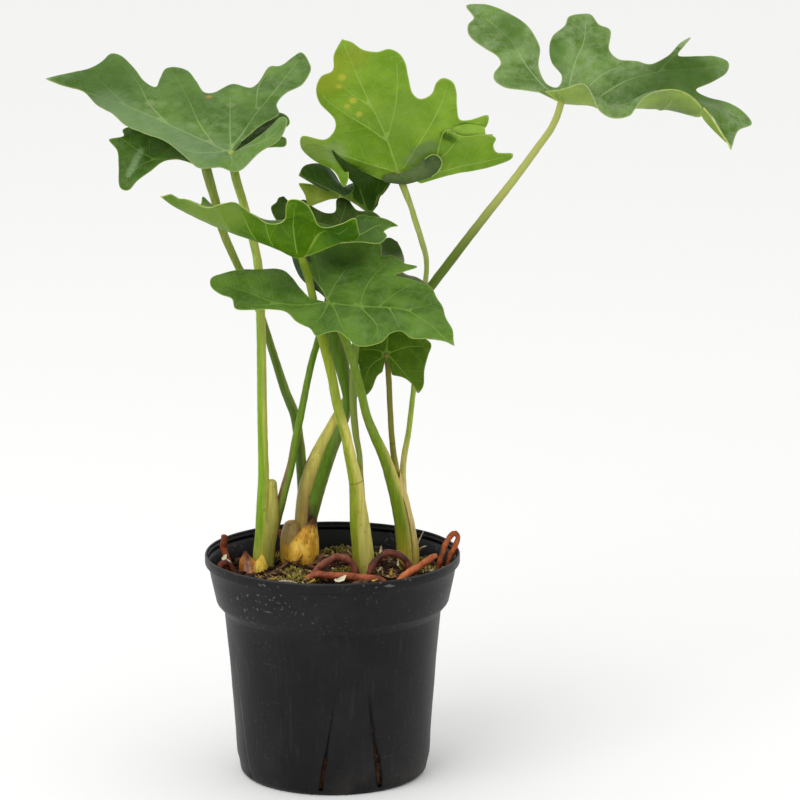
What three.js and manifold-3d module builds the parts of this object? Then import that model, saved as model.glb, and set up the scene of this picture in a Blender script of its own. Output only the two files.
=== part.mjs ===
// Potted lacy tree philodendron: a young plant of four stem clumps in a 105 mm nursery pot.
// Millimetres. The origin is the centre of the pot's flat underside, +Z is up and the front faces -Y.
import * as THREE from "three";
import { mergeVertices } from "three/addons/utils/BufferGeometryUtils.js";
import Module from "manifold-3d";

const wasm = await Module();
wasm.setup();

// Pot
const RIM_RADIUS = 52.5;
const POT_HEIGHT = 92.4;
const FOOT_RADIUS = 36.6;
const WALL = 1.2;
const COLLAR_BOTTOM = 72.4;
const SHOULDER_BOTTOM = 68.4;
const LIP_BOTTOM = 88.4;
const LIP_ROUND = 0.6;
const PANEL_COUNT = 4;
const PANEL_TURN = 12;
const PANEL_FOOT_ANGLE = 19.2;
const PANEL_TOP_ANGLE = 8.4;
const SLIT_WIDTH = 1.7;
const SLIT_HEIGHT = 17;
const CREASE_TOP = 48;
const CREASE_DEPTH = 0.5;
const DRAIN_COUNT = 8;
const DRAIN_SIDES = 10;
const DRAIN_RADIUS = 3;
const DRAIN_CIRCLE = 24;
// Steps from a panel's middle to the edge of its quarter; a slit takes the steps next to its middle step
const HALF_STEPS = 8;
const SLIT_STEP = 3;

// Soil and what stands in it: the soil keeps its play from the wall and its clearance from the floor
const SOIL_TOP = 81.6;
const SOIL_HEAP = 1.3;
const SOIL_LUMPS = 0.45;
const SOIL_RINGS = 9;
const SOIL_SIDES = 40;
const SOIL_PLAY = 0.85;
const SOIL_CLEARANCE = 0.75;
const GAP = 0.35;
const STAND_DEPTH = 77;
const STEM_SIDES = 8;
const ROOT_SIDES = 6;
const DOME = 0.3;

// Leaves: thickness of a blade, points along one half of its margin, and the grid its waves are drawn on
const BLADE = 0.7;
const BIG_MARGIN_POINTS = 46;
const SMALL_MARGIN_POINTS = 26;
const WAVE_GRID = 7;
const STEEP_GRID = 4.5;
const WAVE_BORDER = 1;
const GUIDE_POINTS = 90;
const GUIDE_SOFTNESS = 0.5;
const GUIDE_FALLOFF = 1.5;
const STEEPEST = 0.25;
const CUTTER_HEIGHT = 160;
// A folded leaf and the dry scales are ruled from the midrib to the margin instead
const FOLDED_MESH = { points: 20, rows: 3 };
const BRACT_MESH = { points: 6, rows: 2 };
// The basal lobes' veins spring from the junction, the others from ever farther along the midrib
const BASAL_SHARE = 0.4;
const SPINE_REACH = 0.86;
const FOOT_EASE = 1.2;
const MARGIN_CURL = 1.4;

// Colours of the photograph
const BLACK_PLASTIC = 0x2b2b2c;
const DARK_SOIL = 0x2f2117;
const LEAF_BLOOM = 0x55803f;
const LEAF_DEEP = 0x2f5526;
const LEAF_LIGHT = 0x79a338;
const LEAF_BRIGHT = 0x58891c;
const STEM_GREEN = 0x86a04c;
const STEM_OLIVE = 0x6f7f3d;
const BRACT_YELLOW = 0xc99a3c;
const ROOT_BROWN = 0x87432b;
const ROOT_ORANGE = 0xa9532a;

// Each blade lies in a plane of its own: at is its junction with the petiole, turn is heading, pitch and roll
// in degrees, and a margin knot is [along, across, lift] from the junction, from the sinus to the tip
const LEAVES = [
  {
    name: "leaf_left_upper",
    colour: LEAF_BLOOM,
    points: BIG_MARGIN_POINTS,
    at: [-40, 0, 257],
    turn: [150, 15, -24],
    spine: [[32, -2, 0], [54, -3, 0], [93, 0, 0]],
    left: [
      [-4, -5, 3], [-9, -13, 8], [-14, -16, 14], [-18, -14, 15], [-19, -11, 13], [-18, -8, 9],
      [-13, -3, 5], [-10, 7, 0], [-7, 9, -1], [-2, 10, 0], [5, 15, 0], [14, 12, 0], [27, 8, 0],
      [37, 8, 0], [46, 8, 0], [55, 5, 0], [62, 4, 0], [76, -2, -1], [84, 0, 0],
    ],
    right: [
      [1, -9, 0], [1, -20, 0], [-1, -32, 0], [4, -38, 0], [5, -47, 0], [3, -54, 0], [4, -61, 0],
      [7, -67, 0], [16, -73, 0], [17, -68, 0], [18, -60, 0], [21, -58, 0], [19, -41, 0], [27, -39, 0],
      [30, -30, 0], [33, -28, 0], [41, -33, 0], [48, -37, 0], [54, -36, 0], [56, -33, 0], [54, -26, 0],
      [52, -20, 0], [58, -21, 0], [67, -26, 0], [77, -30, 0], [81, -29, 0], [81, -23, 0], [83, -15, 0],
      [88, -8, 0],
    ],
  },
  {
    name: "leaf_left_behind",
    colour: LEAF_DEEP,
    points: BIG_MARGIN_POINTS,
    at: [-51, 16, 251],
    turn: [97, 25, -3],
    spine: [[43, 0, 0]],
    left: [
      [-3, 3, -1], [2, 7, -1], [7, 12, -2], [9, 17, -4], [7, 22, -7], [4, 28, -10], [1, 32, -12],
      [3, 35, -12], [13, 35, -8], [20, 35, -5], [27, 38, -4], [26, 32, -2], [31, 32, -2], [32, 26, -1],
      [31, 19, 0], [42, 16, 0], [47, 9, 0], [39, 5, 0],
    ],
    right: [
      [-3, -3, 0], [-2, -12, 1], [3, -21, 3], [1, -27, 5], [-2, -32, 7], [3, -33, 7], [9, -30, 6],
      [12, -35, 8], [17, -35, 8], [22, -32, 7], [26, -25, 5], [25, -21, 3], [38, -19, 2], [43, -16, 1],
      [37, -11, 0], [45, -6, 0],
    ],
  },
  {
    name: "leaf_centre_upright",
    colour: LEAF_LIGHT,
    points: BIG_MARGIN_POINTS,
    at: [27, 28, 245],
    turn: [-126, 57, 31],
    spine: [[19, 1, 0], [45, 0, 0], [70, 0, -1]],
    left: [
      [-8, 7, 0], [-8, 13, 0], [-8, 22, 0], [-9, 30, 0], [-9, 40, 0], [-8, 46, 0], [-6, 47, 0],
      [-3, 41, 0], [1, 41, 0], [4, 43, 0], [7, 41, -1], [11, 31, -3], [15, 27, -3], [13, 32, 1],
      [9, 40, 2], [14, 43, 2], [15, 35, 1], [17, 32, 0], [24, 33, 0], [31, 35, 0], [36, 35, 0],
      [39, 32, 0], [38, 29, 0], [33, 25, 0], [32, 20, 0], [35, 18, 0], [44, 19, 0], [51, 20, 0],
      [56, 19, 0], [59, 16, 0], [59, 11, 0], [62, 6, 0], [67, 3, 0],
    ],
    right: [
      [-3, -6, 0], [2, -11, 0], [8, -16, 0], [11.5, -19, -1], [8, -18.5, -5], [4, -22, -6], [11, -24, -3],
      [16, -31, 1], [23, -34, 2], [28, -32, 2], [25, -23, 0], [28, -18, 0], [33, -16, 0], [43, -19, 0],
      [50, -18, 0], [55, -14, 0], [56, -9, 0], [63, -6, 0], [67, -3, -1],
    ],
  },
  {
    name: "leaf_centre_folded",
    colour: LEAF_DEEP,
    folded: true,
    at: [16, 32, 227],
    turn: [-171, -3, -20],
    spine: [[9, 0, 8], [19, 0, 14], [30, 0, 21]],
    left: [
      [-3, -3, 2], [-5, -10, 5], [-1, -15, 8], [6, -13, 8], [10, -11, 8], [14, -13, 14], [18, -12, 18],
      [23, -10, 20], [27, -7, 21],
    ],
    right: [
      [-4, -1, 7], [-8, -2, 12], [-9, -4, 18], [-3, -7, 22], [4, -8, 22], [11, -9, 22], [8, -6, 15],
      [7, -3, 11], [11, -1, 9], [19, 2, 13], [25, 3, 18],
    ],
  },
  {
    name: "leaf_front_boat",
    colour: LEAF_BRIGHT,
    points: BIG_MARGIN_POINTS,
    grid: STEEP_GRID,
    at: [-12, -14, 217],
    turn: [-170, -1, -5],
    spine: [[13, -2, 6], [28, -2, 12], [44, -1, 20], [56, 0, 28]],
    left: [
      [-16, 10, 8], [-21, 15, 11], [-20, 19, 17], [-18, 23, 22], [-13, 19, 18], [-7, 16, 16],
      [-5, 16, 17], [-2, 21, 23], [1, 25, 28], [5, 27, 31], [8, 26, 31], [9, 23, 28], [9, 17, 21],
      [11, 14, 18], [15, 13, 18], [19, 13, 21], [22, 13, 23], [26, 16, 27], [28, 17, 29], [34, 13, 27],
      [38, 10, 25], [43, 9, 27], [47, 6, 28], [50, 5, 28], [51, 5, 30],
    ],
    right: [
      [-13, -4, 4], [-25, -6, 4], [-30, -5, 3], [-34, -5, 3], [-36, -6, 6], [-35, -8, 7], [-38, -8, 9],
      [-41, -8, 9], [-38, -11, 11], [-35, -12, 12], [-30, -14, 12], [-26, -16, 12], [-20, -14, 7],
      [-12, -14, 5], [-3, -16, 7], [6, -16, 6], [13, -14, 9], [20, -15, 12], [26, -15, 15],
      [33, -14, 19], [37, -14, 24], [39, -9, 21], [46, -4, 22],
    ],
  },
  {
    name: "leaf_front_broad",
    colour: LEAF_BLOOM,
    points: BIG_MARGIN_POINTS,
    at: [-1, -16, 199],
    turn: [-25, -14, 27],
    spine: [[9, 2, 1], [19, 5, 2], [29, 9, 2], [39, 8, 1], [57, 0, 1]],
    left: [
      [-5, 5, 0], [-12, 10, 0], [-22, 17, 0], [-27, 22, 0], [-25, 27, 0], [-17, 32, -1], [-10, 37, 0],
      [-5, 43, 0], [1, 42, 0], [5, 36, 0], [8, 38, 0], [15, 36, 0], [21, 36, 1], [18, 31, 1],
      [15, 28, 0], [23, 28, 1], [32, 27, 1], [36, 24, 0], [41, 20, 0], [45, 15, 0], [52, 8, 1],
      [55, 3, 1],
    ],
    right: [
      [-8, -1, 0], [-15, 3, 0], [-21, 7, 0], [-26, 9, 0], [-34, 5, 0], [-41, 1, 0], [-47, -5, 0],
      [-49, -9, 0], [-46, -14, 0], [-41, -15, -1], [-36, -15, -1], [-32, -19, -2], [-26, -18, -1],
      [-21, -14, -1], [-13, -12, -1], [-7, -14, -2], [0, -15, -2], [4, -17, -3], [7, -14, -2],
      [11, -12, -1], [16, -13, -2], [21, -14, -3], [26, -11, -3], [29, -8, -2], [30, -3, -1],
      [33, 0, -1], [38, -1, -2], [44, 1, -1], [50, 2, -1],
    ],
  },
  {
    name: "leaf_middle_dark",
    colour: LEAF_DEEP,
    points: SMALL_MARGIN_POINTS,
    at: [0, 20, 219],
    turn: [144, 31, -35],
    spine: [[29, 0, 0]],
    left: [
      [2, 4, -1], [8, 8, -2], [15, 10, -2], [22, 10, -1], [28, 8, -1], [29, 7, 0], [29, 4, 0],
      [30, 2, 0],
    ],
    right: [
      [-3, -2, -1], [-8, -9, -2], [-9, -16, -2], [-8, -21, -1], [-2, -21, 0], [3, -17, 0],
      [11, -18, 0], [13, -15, 0], [9, -10, 0], [11, -7, 0], [17, -5, 0], [22, -5, 0], [24, 0, 0],
    ],
  },
  {
    name: "leaf_right_high",
    colour: LEAF_BLOOM,
    points: BIG_MARGIN_POINTS,
    grid: STEEP_GRID,
    at: [92, 2, 277],
    turn: [-14, -14, 43],
    spine: [[13, 4, 0], [30, 9, 0], [50, 11, 1], [71, 0, 1]],
    left: [
      [-10, 2, 0], [-17, 1, 0], [-24, 0, 0], [-29, 2, 0], [-30, 5, 0], [-29, 10, 0], [-31, 13, 0],
      [-38, 16, 0], [-46, 20, 0], [-48, 25, 0], [-47, 29, 0], [-52, 34, 0], [-46, 37, 0], [-39, 37, 0],
      [-30, 35, 0], [-22, 30, 0], [-17, 24, 0], [-14, 14, 0], [-8, 7, 0], [-4, 7, 0], [-4, 13, 0],
      [-10, 18, 0], [-13, 24, 0], [-14, 31, 0], [-11, 38, 0], [-11, 43, 0], [-7, 46, 0], [-3, 47, 0],
      [2, 43, 0], [7, 42, 0], [10, 32, 0], [15, 29, 0], [22, 30, 1], [28, 30, 1], [33, 36, 1],
      [36, 45, 1], [39, 49, 1], [37, 38, 1], [45, 41, 1], [52, 43, 1], [57, 42, 1], [58, 37, 1],
      [54, 30, 1], [49, 24, 1], [54, 22, 1], [64, 22, 1], [73, 18, 1], [75, 15, 1], [71, 10, 1],
    ],
    right: [
      [-6, -3, 8], [3, -5, 17], [10, -5, 23], [15, -9, 22], [20, -14, 21], [25, -15, 20],
      [31, -11, 19], [32, -5, 17], [34, 0, 19], [38, 3, 21], [45, 6, 22], [51, 8, 19], [58, 8, 13],
      [63, 7, 5],
    ],
  },
  {
    name: "leaf_low_hanging",
    colour: LEAF_DEEP,
    points: SMALL_MARGIN_POINTS,
    at: [22, 12, 172],
    turn: [80, 65, 9],
    spine: [[21, 0, 0]],
    left: [
      [-7, 1, 0], [-9, 3, 0], [-15, 5, 0], [-18, 8, 0], [-13, 9, 0], [-5, 11, 0], [0, 14, 0],
      [6, 12, 0], [11, 14, 0], [14, 10, 0], [14, 5, 0], [18, 4, 0],
    ],
    right: [
      [-8, -3, 0], [-9, -8, 0], [-12, -12, 0], [-15, -14, 0], [-12, -16, 0], [-5, -16, 0], [1, -17, 0],
      [6, -18, 0], [10, -13, 0], [14, -10, 0], [13, -6, 0], [19, -4, 0],
    ],
  },
  {
    name: "leaf_middle_small",
    colour: LEAF_DEEP,
    points: SMALL_MARGIN_POINTS,
    at: [14, 12, 198],
    turn: [46, 46, 35],
    spine: [[26, 0, 0]],
    left: [
      [-3, 2, 0], [-2, 7, 0], [4, 8, 0], [8, 5, 0], [13, 8, 0], [17, 6, 0], [22, 6, 0], [26, 4, 0],
    ],
    right: [
      [-1, -4, 0], [0, -11, 0], [4, -17, 0], [9, -20, 0], [14, -23, 0], [16, -15, 0], [15, -10, 0],
      [16, -6, 0], [19, -7, 0], [23, -4, 0],
    ],
  },
];

// Dry scale leaves, drawn as the blades are
const BRACTS = [
  {
    name: "bract_back",
    at: [-11, 16.5, 83.5],
    turn: [80, 78, 0],
    spine: [[9, 0, 1], [19, -5, 0]],
    left: [[1, 3, -1], [6, 6.5, -2], [10, 6, -2], [14, 3, -1]],
    right: [[1, -3, -1], [6, -5, -2], [11, -6, -2], [16, -6.5, -1]],
  },
  {
    name: "bract_left",
    at: [-30.5, 3, 83.4],
    turn: [110, 70, 0],
    spine: [[5, 0, 1], [12, 5, 0]],
    left: [[1, 2.5, -1], [4, 5.5, -1], [8, 6.5, -1]],
    right: [[1, -3, 0], [3, -5, 0], [6, -3.5, 0], [9, 0, 0]],
  },
];

// A petiole's or root's knots are [x, y, z, radius]; a clump's petioles grow from one foot
const STEMS = [
  {
    name: "stems_left",
    colour: STEM_GREEN,
    tubes: [
      [[-29.3, 12, STAND_DEPTH, 4.6], [-29.3, 12, 84, 4.8], [-28.5, 12, 91, 4.7], [-27.5, 12, 98.5, 4.4],
        [-26.5, 11, 110, 4], [-27.3, 11, 121, 3], [-28, 11, 133, 2.3], [-28.5, 11, 154, 2.1],
        [-29, 11, 184, 2], [-30, 10, 210, 1.9], [-33, 7, 225.5, 1.8], [-36, 4, 238, 1.7],
        [-38.5, 1.5, 247.5, 1.9], [-39.8, 0, 256.2, 1.6]],
      [[-26, 13, 92, 2], [-22.5, 14, 105.5, 2], [-20, 15, 115, 1.9], [-17.5, 17, 124, 1.7],
        [-15, 19, 137, 1.5], [-13, 20, 146.5, 1.4], [-9, 22, 165.5, 1.4], [-6, 25, 176, 1.4],
        [-1, 29, 191.5, 1.4], [5, 31, 208, 1.4], [11.5, 32, 219.5, 1.5], [15.8, 32, 226, 1.5]],
    ],
  },
  {
    name: "stems_back",
    colour: STEM_OLIVE,
    tubes: [
      [[-13, 25, STAND_DEPTH, 3.6], [-13, 25, 84, 3.7], [-12.5, 25, 91, 3.6], [-12, 25, 103, 3.5],
        [-11, 25, 115.5, 3.2], [-7, 25, 126.5, 2.7], [0, 24, 140, 2.5], [5.5, 24, 149.5, 2.4],
        [16, 23, 165, 2.3], [27, 22, 181, 2.2], [40, 20, 200, 2.3], [60, 15, 228, 2.1],
        [72, 11, 244.5, 2], [80.5, 8, 257, 1.9], [87.5, 5, 267.5, 1.9], [91.4, 1.6, 276.9, 1.8]],
      [[-12.5, 26, 99.5, 2.4], [-12.5, 27, 107.5, 2.4], [-13, 27, 118.5, 2.2], [-14, 27, 131, 2],
        [-16, 27, 144, 2], [-19.5, 26, 153.5, 2], [-25, 25, 171.5, 1.6], [-29, 24, 185, 1.5],
        [-34.5, 22, 198.5, 1.6], [-39.5, 21, 209.5, 1.6], [-45, 19, 223.5, 1.7],
        [-47.5, 17, 235.5, 1.8], [-49.5, 16, 243, 2], [-51, 16, 249.4, 2]],
      [[-9.8, 24, 95.5, 2.4], [-7.5, 23, 105.5, 2.3], [-4, 21, 120, 2.4], [0, 18, 131, 2.3],
        [4, 16, 140.5, 2], [6, 16, 149, 1.6], [5.5, 16, 157.5, 2.2], [3.5, 17, 167.5, 3.2],
        [0.5, 19, 178.5, 4], [-0.5, 21, 188, 3.2], [-1, 22, 197, 2], [-0.5, 22, 209, 1.6],
        [0, 20, 217, 1.6]],
    ],
  },
  {
    name: "stems_centre",
    colour: STEM_GREEN,
    tubes: [
      [[12, 4, STAND_DEPTH, 4], [12, 4, 84, 4.2], [12, 4, 93, 4.2], [11, 2, 108.5, 3.2], [9.5, 0, 122, 2.6],
        [7.5, -2, 132, 2.3], [5.5, -4, 142.5, 2.1], [2, -7, 156.5, 2.1], [0, -8.5, 168, 2],
        [-4, -8, 184, 1.9], [-7.6, -5, 200, 1.6], [-9, -6.5, 207, 1.6], [-11.5, -13.5, 216.3, 1.6]],
      [[11.5, 3, 101, 1.6], [12, 4, 113, 1.4], [11.5, 5, 121.5, 1.1], [11, 6, 131.5, 1.1],
        [9.5, 6.5, 140.5, 1.3], [8.5, 6.5, 156, 1.4], [9.5, 7.5, 176.5, 1.6], [11.5, 10, 187, 1.5],
        [14, 12.7, 196.4, 1.5]],
    ],
  },
  {
    name: "stems_right",
    colour: STEM_GREEN,
    tubes: [
      [[31, 14, STAND_DEPTH, 3.4], [31, 14, 84, 3.4], [31, 14, 89, 3.4], [29, 13, 98.5, 3.5],
        [27, 12, 108.5, 3.3], [25, 10.5, 119, 3.2], [21.5, 8.5, 129.5, 2.7], [17, 5, 140.5, 1.9],
        [14, 2.5, 149, 1.7], [11.5, -1, 161, 1.6], [8, -5, 174.5, 1.7], [4, -10, 187, 1.7],
        [-0.5, -15.5, 198, 1.6]],
      [[27.5, 13, 111, 1.6], [26.5, 14, 120, 1.5], [25, 14, 130, 1.2], [24, 14, 140.5, 1.2],
        [23.5, 14.5, 151, 1.3], [23, 14.5, 161.5, 1.2], [22.3, 13.3, 170.5, 1.2]],
      [[29.5, 14.5, 93.5, 2], [29.5, 16, 104, 1.8], [29, 18, 114, 1.3], [29, 21, 125, 1.2],
        [31, 24, 136.5, 1.2], [32.5, 26, 148.5, 1.1], [34, 28, 162.5, 1.1], [36, 30, 183, 1.1],
        [38.5, 30, 207.5, 1.1], [36, 29, 218, 1.2], [34, 28.5, 224.5, 1.2], [32, 28, 231, 1.2],
        [29, 28, 239, 1.5], [27.7, 28.4, 242.9, 1.4]],
    ],
  },
];

const ROOTS = [
  {
    name: "root_left_hook",
    colour: ROOT_BROWN,
    tubes: [
      [[-40, 10, STAND_DEPTH, 1.8], [-40, 10, 82, 1.8], [-42.5, 11, 86, 1.8], [-44, 13, 89.5, 1.8],
        [-45, 14, 92.5, 1.8], [-46.5, 14, 95, 1.6]],
    ],
  },
  {
    name: "root_left_low",
    colour: ROOT_BROWN,
    tubes: [
      [[-44.5, -6, STAND_DEPTH, 1.8], [-44.5, -6, 84, 1.8], [-43.5, -5.5, 88, 1.8], [-41.5, -4, 88.5, 1.8],
        [-40, -3, 85, 1.8], [-40, -3, STAND_DEPTH, 1.8]],
    ],
  },
  {
    name: "root_centre_arch",
    colour: ROOT_BROWN,
    tubes: [
      [[-7.5, -8, STAND_DEPTH, 1.8], [-7.5, -8, 83, 1.8], [-6, -8, 87, 1.9], [-2, -7, 90, 1.9],
        [2.5, -6, 91.5, 1.9], [7, -6, 90, 1.9], [9.5, -6, 86, 1.8], [9.5, -6, STAND_DEPTH, 1.8]],
    ],
  },
  {
    name: "root_front_long",
    colour: ROOT_BROWN,
    tubes: [
      [[-11, -13, STAND_DEPTH, 1.8], [-11, -13, 82, 1.8], [-8.5, -13, 85.4, 1.8], [-5, -13, 86, 1.9],
        [1, -14, 85.8, 1.9], [8, -14, 85.4, 1.9], [14.5, -15, 85, 1.9], [19.5, -15, 84.4, 1.7],
        [22, -15, 82, 1.6], [22, -15, STAND_DEPTH, 1.6]],
    ],
  },
  {
    name: "root_right_arch",
    colour: ROOT_BROWN,
    tubes: [
      [[15, -8, STAND_DEPTH, 1.8], [15, -8, 83, 1.8], [16, -8, 87.5, 1.9], [18, -7, 90.5, 1.9],
        [21.5, -6, 93, 1.9], [25.5, -5, 93, 1.9], [29, -5, 91, 1.9], [31.5, -5, 87, 1.8],
        [31.5, -5, STAND_DEPTH, 1.8]],
    ],
  },
  {
    name: "root_right_leaning",
    colour: ROOT_ORANGE,
    tubes: [
      [[26, -13, STAND_DEPTH, 1.8], [26, -13, 81, 1.8], [28.5, -12.5, 84.5, 1.9], [32.5, -10.5, 87, 1.9],
        [38, -6.5, 89.5, 1.8], [42, -3, 91.5, 1.5]],
    ],
  },
  {
    name: "root_right_loop",
    colour: ROOT_ORANGE,
    tubes: [
      [[42.5, 6, STAND_DEPTH, 1.6], [42.5, 6, 83, 1.6], [44, 6.5, 88.5, 1.7], [47, 7, 93.5, 1.7],
        [50, 7, 97.2, 1.7], [52, 6.5, 98.5, 1.5]],
      [[44, 0, STAND_DEPTH, 1.6], [44, 0, 84, 1.6], [46, 2, 89, 1.7], [48.2, 4, 93, 1.6], [51.3, 5, 97, 1.6],
        [52, 6.5, 99, 1.5]],
    ],
  },
  {
    name: "root_back_stub",
    colour: ROOT_BROWN,
    tubes: [
      [[-20.5, 27, STAND_DEPTH, 1.5], [-20.5, 27, 85.5, 1.5], [-21, 27.5, 90, 1.5], [-22.5, 28, 94, 1.2]],
    ],
  },
];

// The wall's outer radius and height: foot, taper, shoulder, collar and lip, from the ground up
const OUTER = [
  [FOOT_RADIUS, 0],
  [FOOT_RADIUS + 2, 2],
  [FOOT_RADIUS + 3.6, 8],
  [FOOT_RADIUS + 4.1, SLIT_HEIGHT],
  [FOOT_RADIUS + 4.8, 29],
  [FOOT_RADIUS + 6, CREASE_TOP],
  [FOOT_RADIUS + 8, SHOULDER_BOTTOM],
  [RIM_RADIUS - 4.6, COLLAR_BOTTOM],
  [RIM_RADIUS - 1.4, LIP_BOTTOM - LIP_ROUND],
  [RIM_RADIUS, LIP_BOTTOM],
  [RIM_RADIUS, POT_HEIGHT - LIP_ROUND],
  [RIM_RADIUS - LIP_ROUND, POT_HEIGHT],
];

const degrees = THREE.MathUtils.degToRad;
const point = (knot) => new THREE.Vector3(...knot);
const group = new THREE.Group();
group.name = "potted_lacy_tree_philodendron";

// A named mesh with a material of its own
function addMesh(name, geometry, color, roughness) {
  const material = new THREE.MeshStandardMaterial({ color, roughness, metalness: 0 });
  const mesh = new THREE.Mesh(geometry, material);
  mesh.name = name;
  group.add(mesh);
  return mesh;
}

function indexedGeometry(positions, triangles) {
  const geometry = new THREE.BufferGeometry();
  geometry.setAttribute("position", new THREE.Float32BufferAttribute(positions, 3));
  geometry.setIndex(triangles);
  return geometry;
}

function toSolid(source) {
  const plain = source.clone();
  plain.deleteAttribute("normal");
  plain.deleteAttribute("uv");
  const merged = mergeVertices(plain, 1e-4);
  return new wasm.Manifold(
    new wasm.Mesh({
      numProp: 3,
      vertProperties: new Float32Array(merged.attributes.position.array),
      triVerts: new Uint32Array(merged.index.array),
    }),
  );
}

function toGeometry(solid) {
  const mesh = solid.getMesh();
  return indexedGeometry(Array.from(mesh.vertProperties), Array.from(mesh.triVerts));
}

// A point on a circle about the pot's axis, at an angle in radians from the front towards +X
function onCircle(radius, angle, z) {
  return [radius * Math.sin(angle), -radius * Math.cos(angle), z];
}

function outerRadiusAt(z) {
  const above = OUTER.findIndex(([, height]) => height >= z);
  const [radius, top] = OUTER[above];
  if (above === 0) return radius;
  const [radiusBelow, bottom] = OUTER[above - 1];
  return radiusBelow + ((radius - radiusBelow) * (z - bottom)) / (top - bottom);
}

// A step's turn from its panel's middle, in degrees: even at the collar, along slit and crease below it
function stepAngle(step, z) {
  const number = Math.abs(step);
  const quarter = 180 / PANEL_COUNT;
  const slit = THREE.MathUtils.lerp(PANEL_FOOT_ANGLE, PANEL_TOP_ANGLE, Math.min(z / CREASE_TOP, 1));
  const halfSlit = THREE.MathUtils.radToDeg(SLIT_WIDTH / 2 / FOOT_RADIUS);
  const near = [0, (slit - halfSlit) / 2, slit - halfSlit, slit, slit + halfSlit];
  const rest = (number - SLIT_STEP - 1) / (HALF_STEPS - SLIT_STEP - 1);
  const leaning = number < near.length ? near[number] : THREE.MathUtils.lerp(slit + halfSlit, quarter, rest);
  const even = (quarter * number) / HALF_STEPS;
  const blend = THREE.MathUtils.smoothstep(z, CREASE_TOP, COLLAR_BOTTOM);
  return Math.sign(step) * THREE.MathUtils.lerp(leaning, even, blend);
}

// The wall and floor as one closed shell of rings, open at the slits and grooved along the creases
function shellSolid() {
  const inside = OUTER.slice(1, -3).reverse().map(([radius, z]) => [radius - WALL, z]);
  const profile = [...OUTER, [RIM_RADIUS - WALL, POT_HEIGHT], ...inside, [FOOT_RADIUS - WALL, WALL]];
  const steps = 2 * HALF_STEPS;
  const sides = steps * PANEL_COUNT;
  const stepOf = (side) => (side % steps) - HALF_STEPS + 1;
  const positions = [];
  for (const [row, [radius, z]] of profile.entries()) {
    const fade = THREE.MathUtils.clamp((CREASE_TOP - z) / (CREASE_TOP - SLIT_HEIGHT), 0, 1);
    for (let side = 0; side < sides; side += 1) {
      const panel = Math.floor(side / steps);
      const angle = degrees(PANEL_TURN + (360 * panel) / PANEL_COUNT + stepAngle(stepOf(side), z));
      const grooved = row < OUTER.length && Math.abs(stepOf(side)) === SLIT_STEP;
      positions.push(...onCircle(radius - (grooved ? CREASE_DEPTH * fade : 0), angle, z));
    }
  }
  const underside = positions.length / 3;
  positions.push(0, 0, 0, 0, 0, WALL);

  const last = profile.length - 1;
  const slitTop = OUTER.findIndex(([, z]) => z === SLIT_HEIGHT);
  const at = (row, side) => row * sides + (side % sides);
  const beside = (step) => step === SLIT_STEP - 1 || step === SLIT_STEP;
  const inSlit = (side) => beside(stepOf(side)) || beside(-stepOf(side + 1));
  const triangles = [];
  const addQuad = (a, b, c, d) => triangles.push(a, b, c, a, c, d);
  for (let side = 0; side < sides; side += 1) {
    const next = side + 1;
    for (let row = 0; row < last; row += 1) {
      const low = row < OUTER.length ? row : last - 1 - row;
      if (inSlit(side) && low >= 1 && low < slitTop) continue;
      addQuad(at(row, side), at(row, next), at(row + 1, next), at(row + 1, side));
    }
    triangles.push(at(0, next), at(0, side), underside);
    triangles.push(at(last, side), at(last, next), underside + 1);
    if (!inSlit(side)) continue;
    addQuad(at(1, side), at(1, next), at(last - 1, next), at(last - 1, side));
    addQuad(at(slitTop, next), at(slitTop, side), at(last - slitTop, side), at(last - slitTop, next));
    for (let row = 1; row < slitTop; row += 1) {
      const [low, high] = [last - row, last - row - 1];
      if (!inSlit(side - 1)) addQuad(at(row, side), at(low, side), at(high, side), at(row + 1, side));
      if (!inSlit(next)) addQuad(at(row, next), at(row + 1, next), at(high, next), at(low, next));
    }
  }
  return toSolid(indexedGeometry(positions, triangles));
}

function potSolid() {
  let pot = shellSolid();
  for (let hole = 0; hole < DRAIN_COUNT; hole += 1) {
    const drain = new THREE.CylinderGeometry(DRAIN_RADIUS, DRAIN_RADIUS, 6 * WALL, DRAIN_SIDES);
    const [x, y, z] = onCircle(DRAIN_CIRCLE, (2 * Math.PI * (hole + 0.5)) / DRAIN_COUNT, 0);
    pot = pot.subtract(toSolid(drain.rotateX(Math.PI / 2).translate(x, y, z)));
  }
  return pot;
}

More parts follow.
